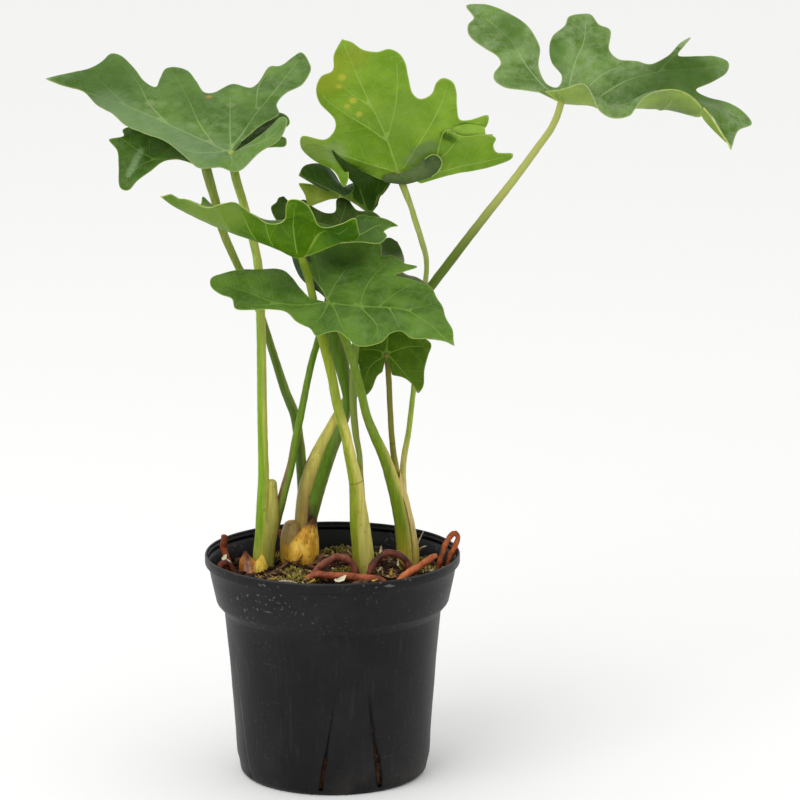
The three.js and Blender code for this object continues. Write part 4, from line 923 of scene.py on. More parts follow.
def makeStalk(stalk, name, node, seed):
    tube = (stalkMake["sides"], stalkMake["spacing"], stalkMake["waver"])
    bm = bmesh.new()
    knots = stalk["knots"] + [(*stalk["reach"], stalk["knots"][-1][3] * 0.9)]
    addTube(bm, knots, *tube, seed, stalk.get("facing", 10))
    addPiece(bm, name, [node], [stalkMaterial(name + "Skin", stalk["look"])])
    for index, husk in enumerate(stalk.get("husks", [])):
        part = name + "Husk%d" % index
        bm = bmesh.new()
        addTube(bm, husk["knots"], *tube, seed + index)
        addPiece(bm, part, [node], [stalkMaterial(part + "Skin", husk["look"])])
    for index, sheath in enumerate(stalk.get("sheaths", [])):
        part = name + "Sheath%d" % index
        bm = bmesh.new()
        addSheath(bm, sheath["knots"], sheath["opening"], sheath["facing"], seed + index, sheath["drop"])
        addPiece(bm, part, [node], [stalkMaterial(part + "Skin", sheath["look"])], 50)


huskLook = {
    "base": (146, 142, 52), "middle": (188, 180, 88), "top": (156, 160, 76), "mark": (126, 90, 44),
    "from": 90, "to": 116, "bloom": 0.15,
}
pinkLook = {
    "base": (204, 180, 88), "middle": (204, 182, 112), "top": (168, 164, 90), "mark": (160, 108, 72),
    "from": 88, "to": 104, "bloom": 0.15,
}
tanLook = {
    "base": (206, 156, 48), "middle": (158, 132, 78), "top": (150, 130, 70), "mark": (84, 52, 26),
    "from": 88, "to": 95, "bloom": 0.1,
}
darkLook = {
    "base": (92, 90, 30), "middle": (80, 112, 20), "top": (100, 130, 34), "mark": (84, 64, 30), "from": 96,
    "to": 116, "bloom": 0.08,
}

stalkLeftUpper = {
    "knots": [(-30, 11.5, 77, 3.2), (-30, 11.5, 86, 3.2), (-29.3, 11.5, 98, 2.8), (-28.9, 11, 110, 2.5),
        (-28.4, 11, 121, 2.3), (-28.6, 11, 135, 2.1), (-28.8, 11, 154, 2), (-29, 11, 184, 1.9),
        (-30, 10, 210, 1.8), (-33, 7, 225.5, 1.7), (-36, 4, 238, 1.7), (-38.5, 1.5, 247.5, 1.8),
        (-39.8, 0, 256.2, 1.6)],
    "reach": (-40, 0, 257), "facing": -10,
    "look": {"base": (172, 172, 72), "middle": (122, 158, 26), "top": (150, 172, 74), "mark": (110, 92, 36),
        "side": (188, 192, 90), "sideTo": 240, "from": 84, "to": 104, "bloom": 0.12},
    "husks": [{"knots": [(-28.4, 12.2, 78, 3.9), (-28.3, 12.2, 86, 3.9), (-27.4, 12.3, 94, 3.8),
        (-26, 12.6, 102, 3.7), (-25.5, 12.8, 108, 3.2), (-25.3, 12.6, 114, 2.6), (-25.2, 12.4, 118.4, 2.2)],
        "look": huskLook}],
}
makeStalk(stalkLeftUpper, "stalkLeftUpper", "stems_left", 1)

stalkCentreFolded = {
    "knots": [(-26, 13, 92, 2), (-22.5, 14, 105.5, 2), (-20, 15, 115, 1.9), (-17.5, 17, 124, 1.7),
        (-15, 19, 137, 1.6), (-13, 20, 146.5, 1.5), (-9, 22, 165.5, 1.4), (-6, 25, 176, 1.4),
        (-1, 29, 191.5, 1.4), (5, 31, 208, 1.4), (11.5, 32, 219.5, 1.5), (15.8, 32, 226, 1.5)],
    "reach": (16, 32, 227), "facing": 190,
    "look": {**darkLook, "middle": (104, 138, 30), "top": (126, 156, 46), "side": (130, 108, 62),
        "sideTo": 132},
}
makeStalk(stalkCentreFolded, "stalkCentreFolded", "stems_left", 2)

stalkRightHigh = {
    "knots": [(-12, 25, 77, 4.6), (-12, 25, 90, 4.7), (-11.3, 25, 102, 4.7), (-10.2, 25, 112, 4.5),
        (-8.2, 25, 120.5, 4.2), (-4.6, 25, 130, 3.5), (0, 24, 139.5, 2.8), (5.5, 24, 149.5, 2.5),
        (16, 23, 165, 2.2), (27.4, 22, 181, 2), (41, 20, 200, 1.9), (61.4, 15, 228, 1.8),
        (73.6, 11, 244.5, 1.6), (82.2, 8, 257, 1.5), (89, 5, 267.5, 1.4), (91.9, 1.6, 276.9, 1.4)],
    "reach": (92, 1.4, 278.6), "facing": 160,
    "look": {"base": (170, 142, 74), "middle": (208, 198, 98), "top": (98, 116, 30), "mark": (90, 58, 26),
        "side": (146, 136, 64), "sideTo": 132, "from": 104, "to": 134, "bloom": 0.1,
        "bands": [(138, 158, (86, 106, 32)), (210, 246, (166, 172, 92))]},
    "husks": [{"knots": [(-16.5, 21, 79, 5), (-16.8, 21, 87, 5.3), (-17.2, 22, 93, 4.8),
        (-16.8, 23, 97.4, 3.9)], "look": tanLook}],
}
makeStalk(stalkRightHigh, "stalkRightHigh", "stems_back", 3)

stalkLeftBehind = {
    "knots": [(-12.5, 26, 99.5, 2.4), (-12.5, 27, 107.5, 2.4), (-13, 27, 118.5, 2.3), (-14, 27, 131, 2.1),
        (-16, 27, 144, 2), (-19.5, 26, 153.5, 1.9), (-25, 25, 171.5, 1.6), (-29, 24, 185, 1.5),
        (-34.5, 22, 198.5, 1.5), (-39.5, 21, 209.5, 1.6), (-45, 19, 223.5, 1.7), (-47.5, 17, 235.5, 1.8),
        (-49.5, 16, 243, 2), (-51, 16, 249.4, 2)],
    "reach": (-51, 16, 251),
    "look": {**darkLook, "middle": (76, 106, 20), "top": (118, 132, 46), "side": (134, 148, 64),
        "sideTo": 300},
}
makeStalk(stalkLeftBehind, "stalkLeftBehind", "stems_back", 4)

stalkMiddleDark = {
    "knots": [(-9, 20, 96, 1.8), (-8.5, 19.4, 102.3, 2.1), (-7.2, 19.6, 109.3, 2.6), (-5.4, 20, 116, 2.7),
        (-0.4, 20, 131, 2.5), (4, 17.5, 142, 2.1), (6, 16.5, 150, 1.8), (5.5, 16, 158, 2.3),
        (3.5, 17, 167.5, 3.2), (0.5, 19, 178.5, 4), (-0.5, 21, 188, 3.2), (-1, 22, 197, 2),
        (-0.5, 22, 209, 1.6), (0, 20, 217, 1.6)],
    "reach": (0, 20, 219),
    "look": {**darkLook, "base": (50, 30, 20), "middle": (86, 118, 18), "top": (84, 112, 34), "from": 102,
        "to": 109, "side": (120, 136, 60), "sideTo": 200, "bloom": 0.12},
}
makeStalk(stalkMiddleDark, "stalkMiddleDark", "stems_back", 5)

stalkFrontBoat = {
    "knots": [(12.6, 4, 77, 4.4), (12.6, 4, 86, 4.6), (11.8, 3.6, 97, 4.3), (10.9, 2.6, 106, 3.9),
        (10.2, 1.2, 114, 3.3), (9.6, 0, 121.5, 2.9), (7.5, -2, 132, 2.4), (5.5, -4, 142.5, 2.1),
        (2, -7, 156.5, 2), (0, -8.5, 168, 1.9), (-4, -8, 184, 1.8), (-7.6, -5, 200, 1.6),
        (-9, -6.5, 207, 1.6), (-11.5, -13.5, 216.3, 1.6)],
    "reach": (-12, -14, 217.6), "facing": -25,
    "look": {"base": (134, 130, 40), "middle": (136, 152, 32), "top": (118, 140, 30), "mark": (122, 84, 34),
        "side": (208, 198, 102), "sideTo": 150, "from": 88, "to": 104, "bloom": 0.1, "rings": [118.6],
        "lean": 0.3},
}
makeStalk(stalkFrontBoat, "stalkFrontBoat", "stems_centre", 6)

stalkMiddleSmall = {
    "knots": [(11.5, 3, 101, 1.6), (12, 4, 113, 1.5), (11.5, 5, 121.5, 1.3), (11, 6, 131.5, 1.2),
        (9.5, 6.5, 140.5, 1.4), (8.5, 6.5, 156, 1.5), (9.5, 7.5, 176.5, 1.6), (11.5, 10, 187, 1.5),
        (14, 12.7, 196.4, 1.5)],
    "reach": (14, 12, 198),
    "look": {"base": (176, 164, 96), "middle": (126, 146, 56), "top": (118, 146, 62), "mark": (130, 96, 48),
        "side": (160, 150, 84), "sideTo": 150, "from": 88, "to": 116, "bloom": 0.2},
}
makeStalk(stalkMiddleSmall, "stalkMiddleSmall", "stems_centre", 7)

stalkFrontBroad = {
    "knots": [(30.2, 13.5, 77, 3.9), (30.2, 13.5, 86, 3.9), (29.4, 13.2, 97, 3.7), (27.4, 12.2, 108, 3.2),
        (25, 10.8, 118, 2.9), (21.5, 8.5, 129.5, 2.4), (17, 5, 140.5, 2), (14, 2.5, 149, 1.8),
        (11.5, -1, 161, 1.7), (8, -5, 174.5, 1.7), (4, -10, 187, 1.7), (-0.5, -15.5, 198, 1.6)],
    "reach": (-1, -16, 199),
    "look": {"base": (172, 152, 48), "middle": (112, 138, 28), "top": (94, 126, 26), "mark": (126, 92, 44),
        "side": (202, 188, 96), "sideTo": 134, "from": 86, "to": 106, "bloom": 0.1},
    "sheaths": [{"knots": [(31.2, 14, 79, 4.2), (31.2, 14, 88, 4.2), (30.2, 13.6, 98, 4),
        (28.6, 12.8, 108, 3.5), (26.9, 12, 117, 2.8), (25.6, 11.6, 124, 2)], "opening": 80, "facing": 12,
        "drop": 6, "look": pinkLook}],
}
makeStalk(stalkFrontBroad, "stalkFrontBroad", "stems_right", 8)

stalkLowHanging = {
    "knots": [(27.5, 13, 111, 1.6), (26.5, 14, 120, 1.5), (25, 14, 130, 1.3), (24, 14, 140.5, 1.2),
        (23.5, 14.5, 151, 1.2), (23, 14.5, 161.5, 1.2), (22.3, 13.3, 170.5, 1.2)],
    "reach": (22, 12, 172),
    "look": {"base": (158, 148, 60), "middle": (122, 120, 44), "top": (104, 108, 38), "mark": (90, 62, 30),
        "from": 116, "to": 134, "bloom": 0.12, "rings": [135]},
}
makeStalk(stalkLowHanging, "stalkLowHanging", "stems_right", 9)

stalkCentreUpright = {
    "knots": [(29.5, 14.5, 93.5, 2), (29.5, 16, 104, 1.8), (29, 18, 114, 1.4), (29, 21, 125, 1.3),
        (31, 24, 136.5, 1.2), (32.5, 26, 148.5, 1.1), (34, 28, 162.5, 1.1), (36, 30, 183, 1.1),
        (38.5, 30, 207.5, 1.1), (36, 29, 218, 1.2), (34, 28.5, 224.5, 1.2), (32, 28, 231, 1.2),
        (29, 28, 239, 1.5), (27.7, 28.4, 242.9, 1.4)],
    "reach": (27, 28, 245),
    "look": {"base": (200, 190, 110), "middle": (152, 172, 62), "top": (158, 170, 84),
        "mark": (140, 110, 50), "from": 120, "to": 142, "bloom": 0.15},
}
makeStalk(stalkCentreUpright, "stalkCentreUpright", "stems_right", 10)

print("stalks are made")


# aerial roots: bent, finely wrinkled tubes that arch over the soil and dip back into it

rootMake = {
    "sides": 16, "spacing": 1, "waver": 0.42, "slim": 0.8,
}


def rootMaterial(name, look):
    material, tree, shader = newMaterial(name, 0.5)
    place = ownPlace(tree)
    patches = noiseAt(tree, place, 150, 4, 0.65)
    wrinkles = noiseAt(tree, place, 1300, 3, 0.6)
    body = blendColor(tree, remap(tree, patches, 0.35, 0.66), paint(*look["dark"]), paint(*look["light"]))
    dusty = times(tree, remap(tree, wrinkles, 0.52, 0.75), 0.35)
    color = blendColor(tree, dusty, body, paint(170, 112, 70))
    matt = remap(tree, patches, 0.3, 0.7, 0.36, 0.62)
    dress(tree, shader, color, matt, plus(tree, wrinkles, patches))
    return material


def makeRoot(root, name, node, seed):
    bm = bmesh.new()
    for knots in root["tubes"]:
        slim = [(*place, radius * rootMake["slim"]) for *place, radius in knots]
        addTube(bm, slim, rootMake["sides"], rootMake["spacing"], rootMake["waver"], seed)
    addPiece(bm, name, [node], [rootMaterial(name + "Skin", root["look"])])


rootLeftHook = {
    "tubes": [[(-42, 9, 77, 1.8), (-42.4, 9.2, 82, 1.8), (-43.8, 9.6, 87, 1.85), (-44.8, 10, 91, 1.85),
        (-44.9, 10, 94.6, 1.75), (-44.7, 10, 96.4, 1.4)]],
    "look": {"dark": (92, 36, 16), "light": (168, 80, 40)},
}
makeRoot(rootLeftHook, "rootLeftHook", "root_left_hook", 1)

rootLeftLow = {
    "tubes": [[(-46.4, -4, 77, 1.7), (-46.6, -4, 84, 1.7), (-45.8, -3.5, 87.4, 1.8), (-43.6, -2, 88, 1.8),
        (-41.4, -1, 85.6, 1.8), (-41, -1, 77, 1.8)]],
    "look": {"dark": (62, 22, 14), "light": (124, 54, 34)},
}
makeRoot(rootLeftLow, "rootLeftLow", "root_left_low", 2)

rootCentreArch = {
    "tubes": [[(-7.5, -8, 77, 1.8), (-7.5, -8, 83, 1.8), (-6, -8, 87, 1.9), (-2, -7, 90, 1.9),
        (2.5, -6, 91.5, 1.9), (7, -6, 90, 1.9), (9.5, -6, 86, 1.8), (9.5, -6, 77, 1.8)]],
    "look": {"dark": (92, 44, 34), "light": (150, 86, 64)},
}
makeRoot(rootCentreArch, "rootCentreArch", "root_centre_arch", 3)

rootFrontLong = {
    "tubes": [[(-11, -13, 77, 1.8), (-11, -13, 82, 1.8), (-8.5, -13, 85.4, 1.8), (-5, -13, 86, 1.9),
        (1, -14, 85.8, 1.9), (8, -14, 85.4, 1.9), (14.5, -15, 85, 1.9), (19.5, -15, 84.4, 1.7),
        (22, -15, 82, 1.6), (22, -15, 77, 1.6)]],
    "look": {"dark": (112, 50, 28), "light": (182, 98, 62)},
}
makeRoot(rootFrontLong, "rootFrontLong", "root_front_long", 4)

rootRightArch = {
    "tubes": [[(15, -8, 77, 1.8), (15, -8, 83, 1.8), (16, -8, 87.5, 1.9), (18, -7, 90.5, 1.9),
        (21.5, -6, 93, 1.9), (25.5, -5, 93, 1.9), (29, -5, 91, 1.9), (31.5, -5, 87, 1.8),
        (31.5, -5, 77, 1.8)]],
    "look": {"dark": (56, 26, 20), "light": (116, 60, 46)},
}
makeRoot(rootRightArch, "rootRightArch", "root_right_arch", 5)

rootRightLeaning = {
    "tubes": [[(26, -13, 77, 1.8), (26, -13, 81, 1.8), (28.5, -12.5, 84.5, 1.9), (32.5, -10.5, 87, 1.9),
        (38, -6.5, 89.5, 1.8), (42, -3, 91.5, 1.5)]],
    "look": {"dark": (142, 62, 24), "light": (208, 120, 72)},
}
makeRoot(rootRightLeaning, "rootRightLeaning", "root_right_leaning", 6)

rootRightLoop = {
    "tubes": [[(43, 2, 77, 1.5), (43.2, 2, 84, 1.5), (44.6, 3, 89.5, 1.55), (46, 5, 93.4, 1.5),
        (47.8, 7, 96.4, 1.5), (50, 8, 98.1, 1.5), (51.4, 7.5, 97, 1.5), (50.4, 6, 93.4, 1.5),
        (48.4, 4.5, 89.4, 1.5), (47.4, 4, 85, 1.5), (47.2, 4, 78, 1.5)]],
    "look": {"dark": (92, 38, 10), "light": (176, 88, 34)},
}
makeRoot(rootRightLoop, "rootRightLoop", "root_right_loop", 7)

rootBackStub = {
    "tubes": [[(-20.5, 27, 77, 1.5), (-20.5, 27, 85.5, 1.5), (-21, 27.5, 90, 1.5), (-22.5, 28, 94, 1.2)]],
    "look": {"dark": (78, 30, 16), "light": (140, 66, 36)},
}
makeRoot(rootBackStub, "rootBackStub", "root_back_stub", 8)

print("roots are made")

# pot: thin black nursery pot with a collar, slits at the foot and creases that rise from them

potMake = {
    "outside": [(36.6, 0), (37.1, 0.25), (38.2, 1.3), (38.6, 2), (39.3, 4.5), (40.2, 8), (40.5, 12.5),
        (40.7, 17), (41.05, 23), (41.4, 29), (41.9, 36), (42.25, 42), (42.6, 48), (43.1, 53), (43.6, 58),
        (44.2, 64), (44.6, 68.2), (44.8, 68.8), (47.6, 72.1), (47.95, 72.8), (49.2, 78.4), (50.2, 83),
        (51, 87.5), (51.3, 87.9), (52.3, 88.3), (52.5, 88.7), (52.5, 91.7), (52.3, 92.2), (51.9, 92.4)],
    "wall": 1.2, "panels": 4, "turn": 12, "footAngle": 19.2, "topAngle": 8.4, "slitWidth": 1.7,
    "slitTop": 17, "creaseTop": 48, "creaseDepth": 0.9, "pressed": 1.3, "collar": 72.4, "drains": 8,
    "drainRadius": 3, "drainCircle": 24, "halfSteps": 38, "slitSteps": 12,
}


def potRadius(z):
    # outside radius at a height
    line = potMake["outside"]
    for (r1, z1), (r2, z2) in zip(line, line[1:]):
        if z1 <= z <= z2 and z2 > z1:
            return mix(r1, r2, (z - z1) / (z2 - z1))
    return line[-1][0]


def panelAngle(step, z):
    # a step's turn from its panel's middle: along slit and crease low down, even at the collar
    number, quarter = abs(step), 180 / potMake["panels"]
    slit = mix(potMake["footAngle"], potMake["topAngle"], min(z / potMake["creaseTop"], 1))
    half = math.degrees(potMake["slitWidth"] / 2 / potMake["outside"][0][0])
    first, count = potMake["slitSteps"], potMake["halfSteps"]
    if number <= first:
        leaning = (slit - half) * number / first
    elif number <= first + 4:
        leaning = slit - half + 2 * half * (number - first) / 4
    else:
        leaning = mix(slit + half, quarter, (number - first - 4) / (count - first - 4))
    blend = ease(z, potMake["creaseTop"], potMake["collar"])
    return math.copysign(mix(leaning, quarter * number / count, blend), step)


def pressedIn(step, z):
    # how far the wall is pressed in: a narrow crease over each slit, the wedge between them leaning in
    first = potMake["slitSteps"]
    fade = min(1, max(0, (potMake["creaseTop"] - z) / (potMake["creaseTop"] - potMake["slitTop"]))) ** 0.45
    depth = potMake["creaseDepth"] * math.exp(-((abs(step) - first - 2) / 1.3) ** 2)
    if abs(step) <= first + 1:
        depth += potMake["pressed"] * (step + first + 1) / (2 * first + 2)
    return depth * fade * ease(z, 0.5, 4)


def creaseShade(step, z):
    # painted shade in the bottom of each crease over a slit, darker in the right-hand one of each pair
    line = math.exp(-((abs(step) - potMake["slitSteps"] - 2) / 0.9) ** 2) * ease(z, 10, potMake["slitTop"])
    return line * ease(potMake["creaseTop"] - z, 0, 9) * (1 if step > 0 else 0.55)


def inDrain(middle):
    # whether a place on the floor lies in one of the ring of drain holes
    turn = math.atan2(middle.x, -middle.y) / (2 * math.pi) * potMake["drains"] - 0.5
    turn = (turn - round(turn)) * 2 * math.pi / potMake["drains"]
    reach = math.hypot(middle.x, middle.y)
    away = math.hypot(reach * math.cos(turn) - potMake["drainCircle"], reach * math.sin(turn))
    return middle.z < 0.2 and away < potMake["drainRadius"]


def makePot():
    count, first = potMake["halfSteps"], potMake["slitSteps"]
    steps = 2 * count
    columns = steps * potMake["panels"]
    rings = [(max(0.01, potMake["outside"][0][0] * k / 30), 0) for k in range(30)] + potMake["outside"]
    bm, table = newGrid(columns, len(rings) - 1, "crease")
    crease = bm.verts.layers.float["crease"]
    for column in range(columns + 1):
        panel, step = divmod(column % columns, steps)
        step -= count - 1
        for row, (radius, z) in enumerate(rings):
            angle = math.radians(potMake["turn"] + 90 * panel + panelAngle(step, z))
            place = Vector((math.sin(angle) * 2.2, math.cos(angle) * 2.2, z * 0.03))
            dent = noise.noise(place) * 0.25 * ease(z, 2, 20)
            out = radius - pressedIn(step, z) - (0.25 + dent) * ease(radius, 38, 40)
            table[column][row].co = (out * math.sin(angle), -out * math.cos(angle), z)
            table[column][row][crease] = creaseShade(step, z)
    gone = {face for face in bm.faces if inDrain(face.calc_center_median())}
    for column in range(columns):
        step = column % steps - (count - 1)
        if first <= step < first + 4 or first <= -step - 1 < first + 4:
            for row in range(len(rings) - 1):
                if rings[row][1] >= 2 and rings[row + 1][1] <= potMake["slitTop"]:
                    gone |= set(table[column][row].link_faces) & set(table[column + 1][row + 1].link_faces)
    bmesh.ops.delete(bm, geom=list(gone), context="FACES")
    weld(bm)
    lowest = min(bm.faces, key=lambda face: face.calc_center_median().z)
    if lowest.normal.z > 0:
        bmesh.ops.reverse_faces(bm, faces=bm.faces[:])
    piece = addPiece(bm, "nurseryPot", ["pot"], [potMaterial()], 35)
    wall = piece.modifiers.new("wall", "SOLIDIFY")
    wall.thickness = potMake["wall"] * mm
    wall.offset = -1
    print("pot is made")


dustSpecks, dustIn, dustOut = newGroup(
    "dustSpecks",
    [("Place", "Vector", None), ("Scale", "Float", 400.0), ("Amount", "Float", 0.5),
     ("Scratch", "Float", 0.5)],
    [("Mask", "Float")])


def fillDustSpecks(tree, start, end):
    # pale specks gathered in patches, and short scratches that run round the pot
    patches = remap(tree, noiseAt(tree, start["Place"], 45, 2), 0.38, 0.6)
    specks = remap(tree, noiseAt(tree, start["Place"], start["Scale"], 1, 0.4), 0.64, 0.76)
    flat = stretched(tree, start["Place"], (0.16, 0.16, 1.0))
    lines = remap(tree, noiseAt(tree, flat, 620, 2, 0.5), 0.68, 0.75)
    lines = times(tree, lines, start["Scratch"])
    both = larger(tree, specks, lines)
    fillGroup(end, Mask=times(tree, times(tree, both, patches), start["Amount"]))


fillDustSpecks(dustSpecks, dustIn, dustOut)


def potMaterial():
    material, tree, shader = newMaterial("blackPlastic", 0.5, 0.14)
    place = ownPlace(tree)
    specks = {"Place": place, "Scale": 760.0, "Amount": 0.34, "Scratch": 0.8}
    dust = placeGroup(tree, dustSpecks, specks)["Mask"]
    parts = addNode(tree, "SeparateXYZ", {"Vector": place}).outputs
    height, beside = parts["Z"], unsigned(tree, parts["X"])
    handled = remap(tree, height, 0.064, 0.074, 0.14, 1.0)
    handled = times(tree, handled, remap(tree, beside, 0.004, 0.026, 0.35, 1.0))
    dust = times(tree, dust, handled)
    film = remap(tree, noiseAt(tree, place, 26, 5, 0.65), 0.4, 0.78, 0.0, 0.5)
    drawn = noiseAt(tree, stretched(tree, ownPlace(tree), (1, 1, 0.05)), 700, 3)
    plastic = blendColor(tree, film, paint(19, 19, 20), paint(40, 40, 42))
    plastic = blendColor(tree, remap(tree, drawn, 0.55, 0.75, 0.0, 0.16), plastic, paint(62, 62, 64))
    # painted highlight: a pale line round the top of the rim
    lipHighlight = times(tree, remap(tree, height, 0.0915, 0.0921, 0.0, 0.36), remap(tree, film, 0.0, 0.3, 0.4, 1.0))
    plastic = blendColor(tree, lipHighlight, plastic, paint(92, 92, 94))
    soiled = times(tree, remap(tree, height, 0.0, 0.02, 0.4, 0.0), remap(tree, film, 0.0, 0.4))
    plastic = blendColor(tree, soiled, plastic, paint(60, 54, 48))
    # painted shade: the creases are darkened almost to black
    creaseShadow = carried(tree, "crease")
    plastic = blendColor(tree, remap(tree, creaseShadow, 0.0, 1.0, 0.0, 0.85), plastic, paint(4, 4, 4))
    color = blendColor(tree, dust, plastic, paint(150, 150, 152))
    matt = remap(tree, plus(tree, film, dust), 0.0, 1.0, 0.42, 0.7)
    grain = plus(tree, noiseAt(tree, place, 2200, 2), times(tree, drawn, 0.8))
    dress(tree, shader, color, matt, grain, 0.18, 0.0003)
    return material


makePot()

# soil: a lumpy dark fill, with crumbs, bark, moss and fallen scraps on it

soilMake = {
    "top": 81.6, "heap": 1.3, "lumps": 0.45, "crumb": 0.75, "sides": 220, "rings": 84, "play": 0.35,
    "reach": 46,
}


def soilHeight(x, y):
    # the top of the fill: heaped in the middle, with broad lumps
    heap = soilMake["heap"] * (1 - (x * x + y * y) / 52.5 ** 2)
    lumps = math.sin(0.31 * x + 1.3) * math.cos(0.27 * y + 0.6) + 0.6 * math.sin(0.57 * x - 0.49 * y)
    return soilMake["top"] + heap + soilMake["lumps"] * lumps


def soilMaterial():
    material, tree, shader = newMaterial("darkSoil", 0.95, 0.1)
    place = ownPlace(tree)
    lumps = noiseAt(tree, place, 240, 6, 0.7)
    fibres = noiseAt(tree, stretched(tree, ownPlace(tree), (1, 0.3, 1)), 900, 3, 0.6)
    body = blendColor(tree, remap(tree, lumps, 0.35, 0.7), paint(26, 18, 13), paint(74, 50, 33))
    body = blendColor(tree, remap(tree, fibres, 0.6, 0.75, 0.0, 0.6), body, paint(116, 82, 52))
    matt = remap(tree, lumps, 0.3, 0.7, 0.98, 0.75)
    dress(tree, shader, body, matt, plus(tree, lumps, fibres), 0.9, 0.0012)
    return material


def makeSoil(material):
    sides, rings = soilMake["sides"], soilMake["rings"]
    wall = potMake["wall"] + soilMake["play"]
    edge = potRadius(soilMake["top"]) - wall
    rows = [(max(0.01, edge * k / rings), None) for k in range(rings + 1)]
    rows += [(potRadius(z) - wall, z) for z in (78, 72.6, 68.2, 60, 48, 36, 29, 23, 17, 12, 8, 4.5)]
    rows += [(36.2, 1.6), (24, 1.6), (12, 1.6), (0.01, 1.6)]
    bm, table = newGrid(sides, len(rows) - 1)
    for column in range(sides + 1):
        angle = 2 * math.pi * (column % sides) / sides
        for row, (radius, z) in enumerate(rows):
            x, y = radius * math.sin(angle), -radius * math.cos(angle)
            if z is None:
                rough = noise.fractal(Vector((x, y, 3)) * 0.5, 1.0, 2.0, 4)
                rough += 0.6 * abs(noise.noise(Vector((x, y, 9)) * 0.9))
                z = soilHeight(x, y) - 0.4 + soilMake["crumb"] * rough * ease(edge - radius, 0, 2)
            table[column][row].co = (x, y, z)
    weld(bm)
    addPiece(bm, "potSoil", ["soil"], [material])


def scatterCrumbs(name, count, sizes, flatness, material, seed, reach=46):
    # small broken lumps lying on the soil, thicker towards the wall
    chance = random.Random(seed)
    bm = bmesh.new()
    for _ in range(count):
        radius, angle = reach * chance.random() ** 0.45, chance.random() * 2 * math.pi
        x, y = radius * math.sin(angle), -radius * math.cos(angle)
        size = mix(*sizes, chance.random() ** 2)
        turn = Matrix.Rotation(chance.random() * 6.28, 4, "Z")
        turn = turn @ Matrix.Rotation((chance.random() - 0.5) * 0.9, 4, "X")
        shape = Matrix.Diagonal((size * mix(0.9, 1.9, chance.random()), size * mix(0.6, 1, chance.random()),
                                 size * flatness * mix(0.6, 1.2, chance.random()), 1))
        place = Matrix.Translation((x, y, soilHeight(x, y) + size * flatness * 0.25))
        made = bmesh.ops.create_icosphere(bm, subdivisions=1, radius=1)
        for vert in made["verts"]:
            vert.co *= mix(0.7, 1.25, chance.random())
        bmesh.ops.transform(bm, matrix=place @ turn @ shape, verts=made["verts"])
    piece = addPiece(bm, name, ["soil"], [material])
    for face in piece.data.polygons:
        face.use_smooth = False


def scrapMaterial(name, dark, light, roughness=0.85):
    material, tree, shader = newMaterial(name, roughness)
    place = ownPlace(tree)
    patches = noiseAt(tree, place, 420, 4, 0.65)
    color = blendColor(tree, remap(tree, patches, 0.3, 0.7), paint(*dark), paint(*light))
    dress(tree, shader, color, None, patches, 0.5, 0.0004)
    return material


def makeMoss(name, mounds, material, seed):
    # mounds of short curved threads that taper towards their tips
    chance = random.Random(seed)
    bm = bmesh.new()
    for x0, y0, wide, deep, tall, count in mounds:
        for _ in range(count):
            turn, reach = chance.random() * 6.28, chance.random() ** 0.6
            x, y = x0 + wide * reach * math.cos(turn), y0 + deep * reach * math.sin(turn)
            if math.hypot(x, y) > soilMake["reach"]:
                continue
            foot = soilHeight(x, y) - 0.3
            rise = tall * (1 - 0.6 * reach ** 2) * mix(0.5, 1.15, chance.random())
            lean = Vector((chance.uniform(-1, 1), chance.uniform(-1, 1), 0)) * rise * 0.9
            knots = [Vector((x, y, foot)), Vector((x, y, foot)) + lean * 0.3 + Vector((0, 0, rise * 0.7)),
                     Vector((x, y, foot)) + lean + Vector((0, 0, rise * 0.85))]
            strand, table = newGrid(3, 4)
            for row in range(5):
                centre = curvePoint(knots, row / 4)
                thick = mix(0.22, 0.42, chance.random()) * (1 - (row / 4) ** 2 * 0.8)
                for side in range(4):
                    angle = 2 * math.pi * (side % 3) / 3 + row
                    table[side][row].co = centre + Vector((math.cos(angle), math.sin(angle), 0)) * thick
            bmesh.ops.remove_doubles(strand, verts=strand.verts[:], dist=0.003)
            bmesh.ops.holes_fill(strand, edges=strand.edges[:], sides=4)
            bmesh.ops.recalc_face_normals(strand, faces=strand.faces[:])
            joinInto(bm, strand)
    addPiece(bm, name, ["soil"], [material])


def makeScraps(name, scraps, material):
    # small bent sheets lying or leaning where each is placed
    bm = bmesh.new()
    for (x, y, z), turn, length, width, curl in scraps:
        flake, table = newGrid(8, 5)
        for column in range(9):
            along = column / 8
            half = width * (math.sin(math.pi * min(1, along * 0.86 + 0.12)) ** 0.7) / 2
            for row in range(6):
                across = row / 5 * 2 - 1
                ragged = 1 + 0.9 * noise.noise(Vector((along * 5, across * 2, x + y)))
                lift = curl * (along - 0.5) ** 2 * length * 0.6 + curl * across ** 2 * half * 0.5
                table[column][row].co = ((along - 0.5) * length, across * half * ragged, lift)
        thicken(flake, 0.3)
        bmesh.ops.transform(flake, matrix=turnedAt((x, y, z), turn), verts=flake.verts[:])
        joinInto(bm, flake)
    addPiece(bm, name, ["soil"], [material], 50)


soilLook = soilMaterial()
makeSoil(soilLook)
scatterCrumbs("soilCrumbs", 900, (0.5, 1.9), 0.75, soilLook, 11)
scatterCrumbs("barkBits", 260, (0.8, 2.4), 0.4, scrapMaterial("barkBits", (38, 24, 16), (112, 70, 42)), 12)
strawLook = scrapMaterial("strawBits", (128, 100, 52), (216, 196, 142))
scatterCrumbs("strawBits", 240, (0.3, 1.0), 0.5, strawLook, 13)

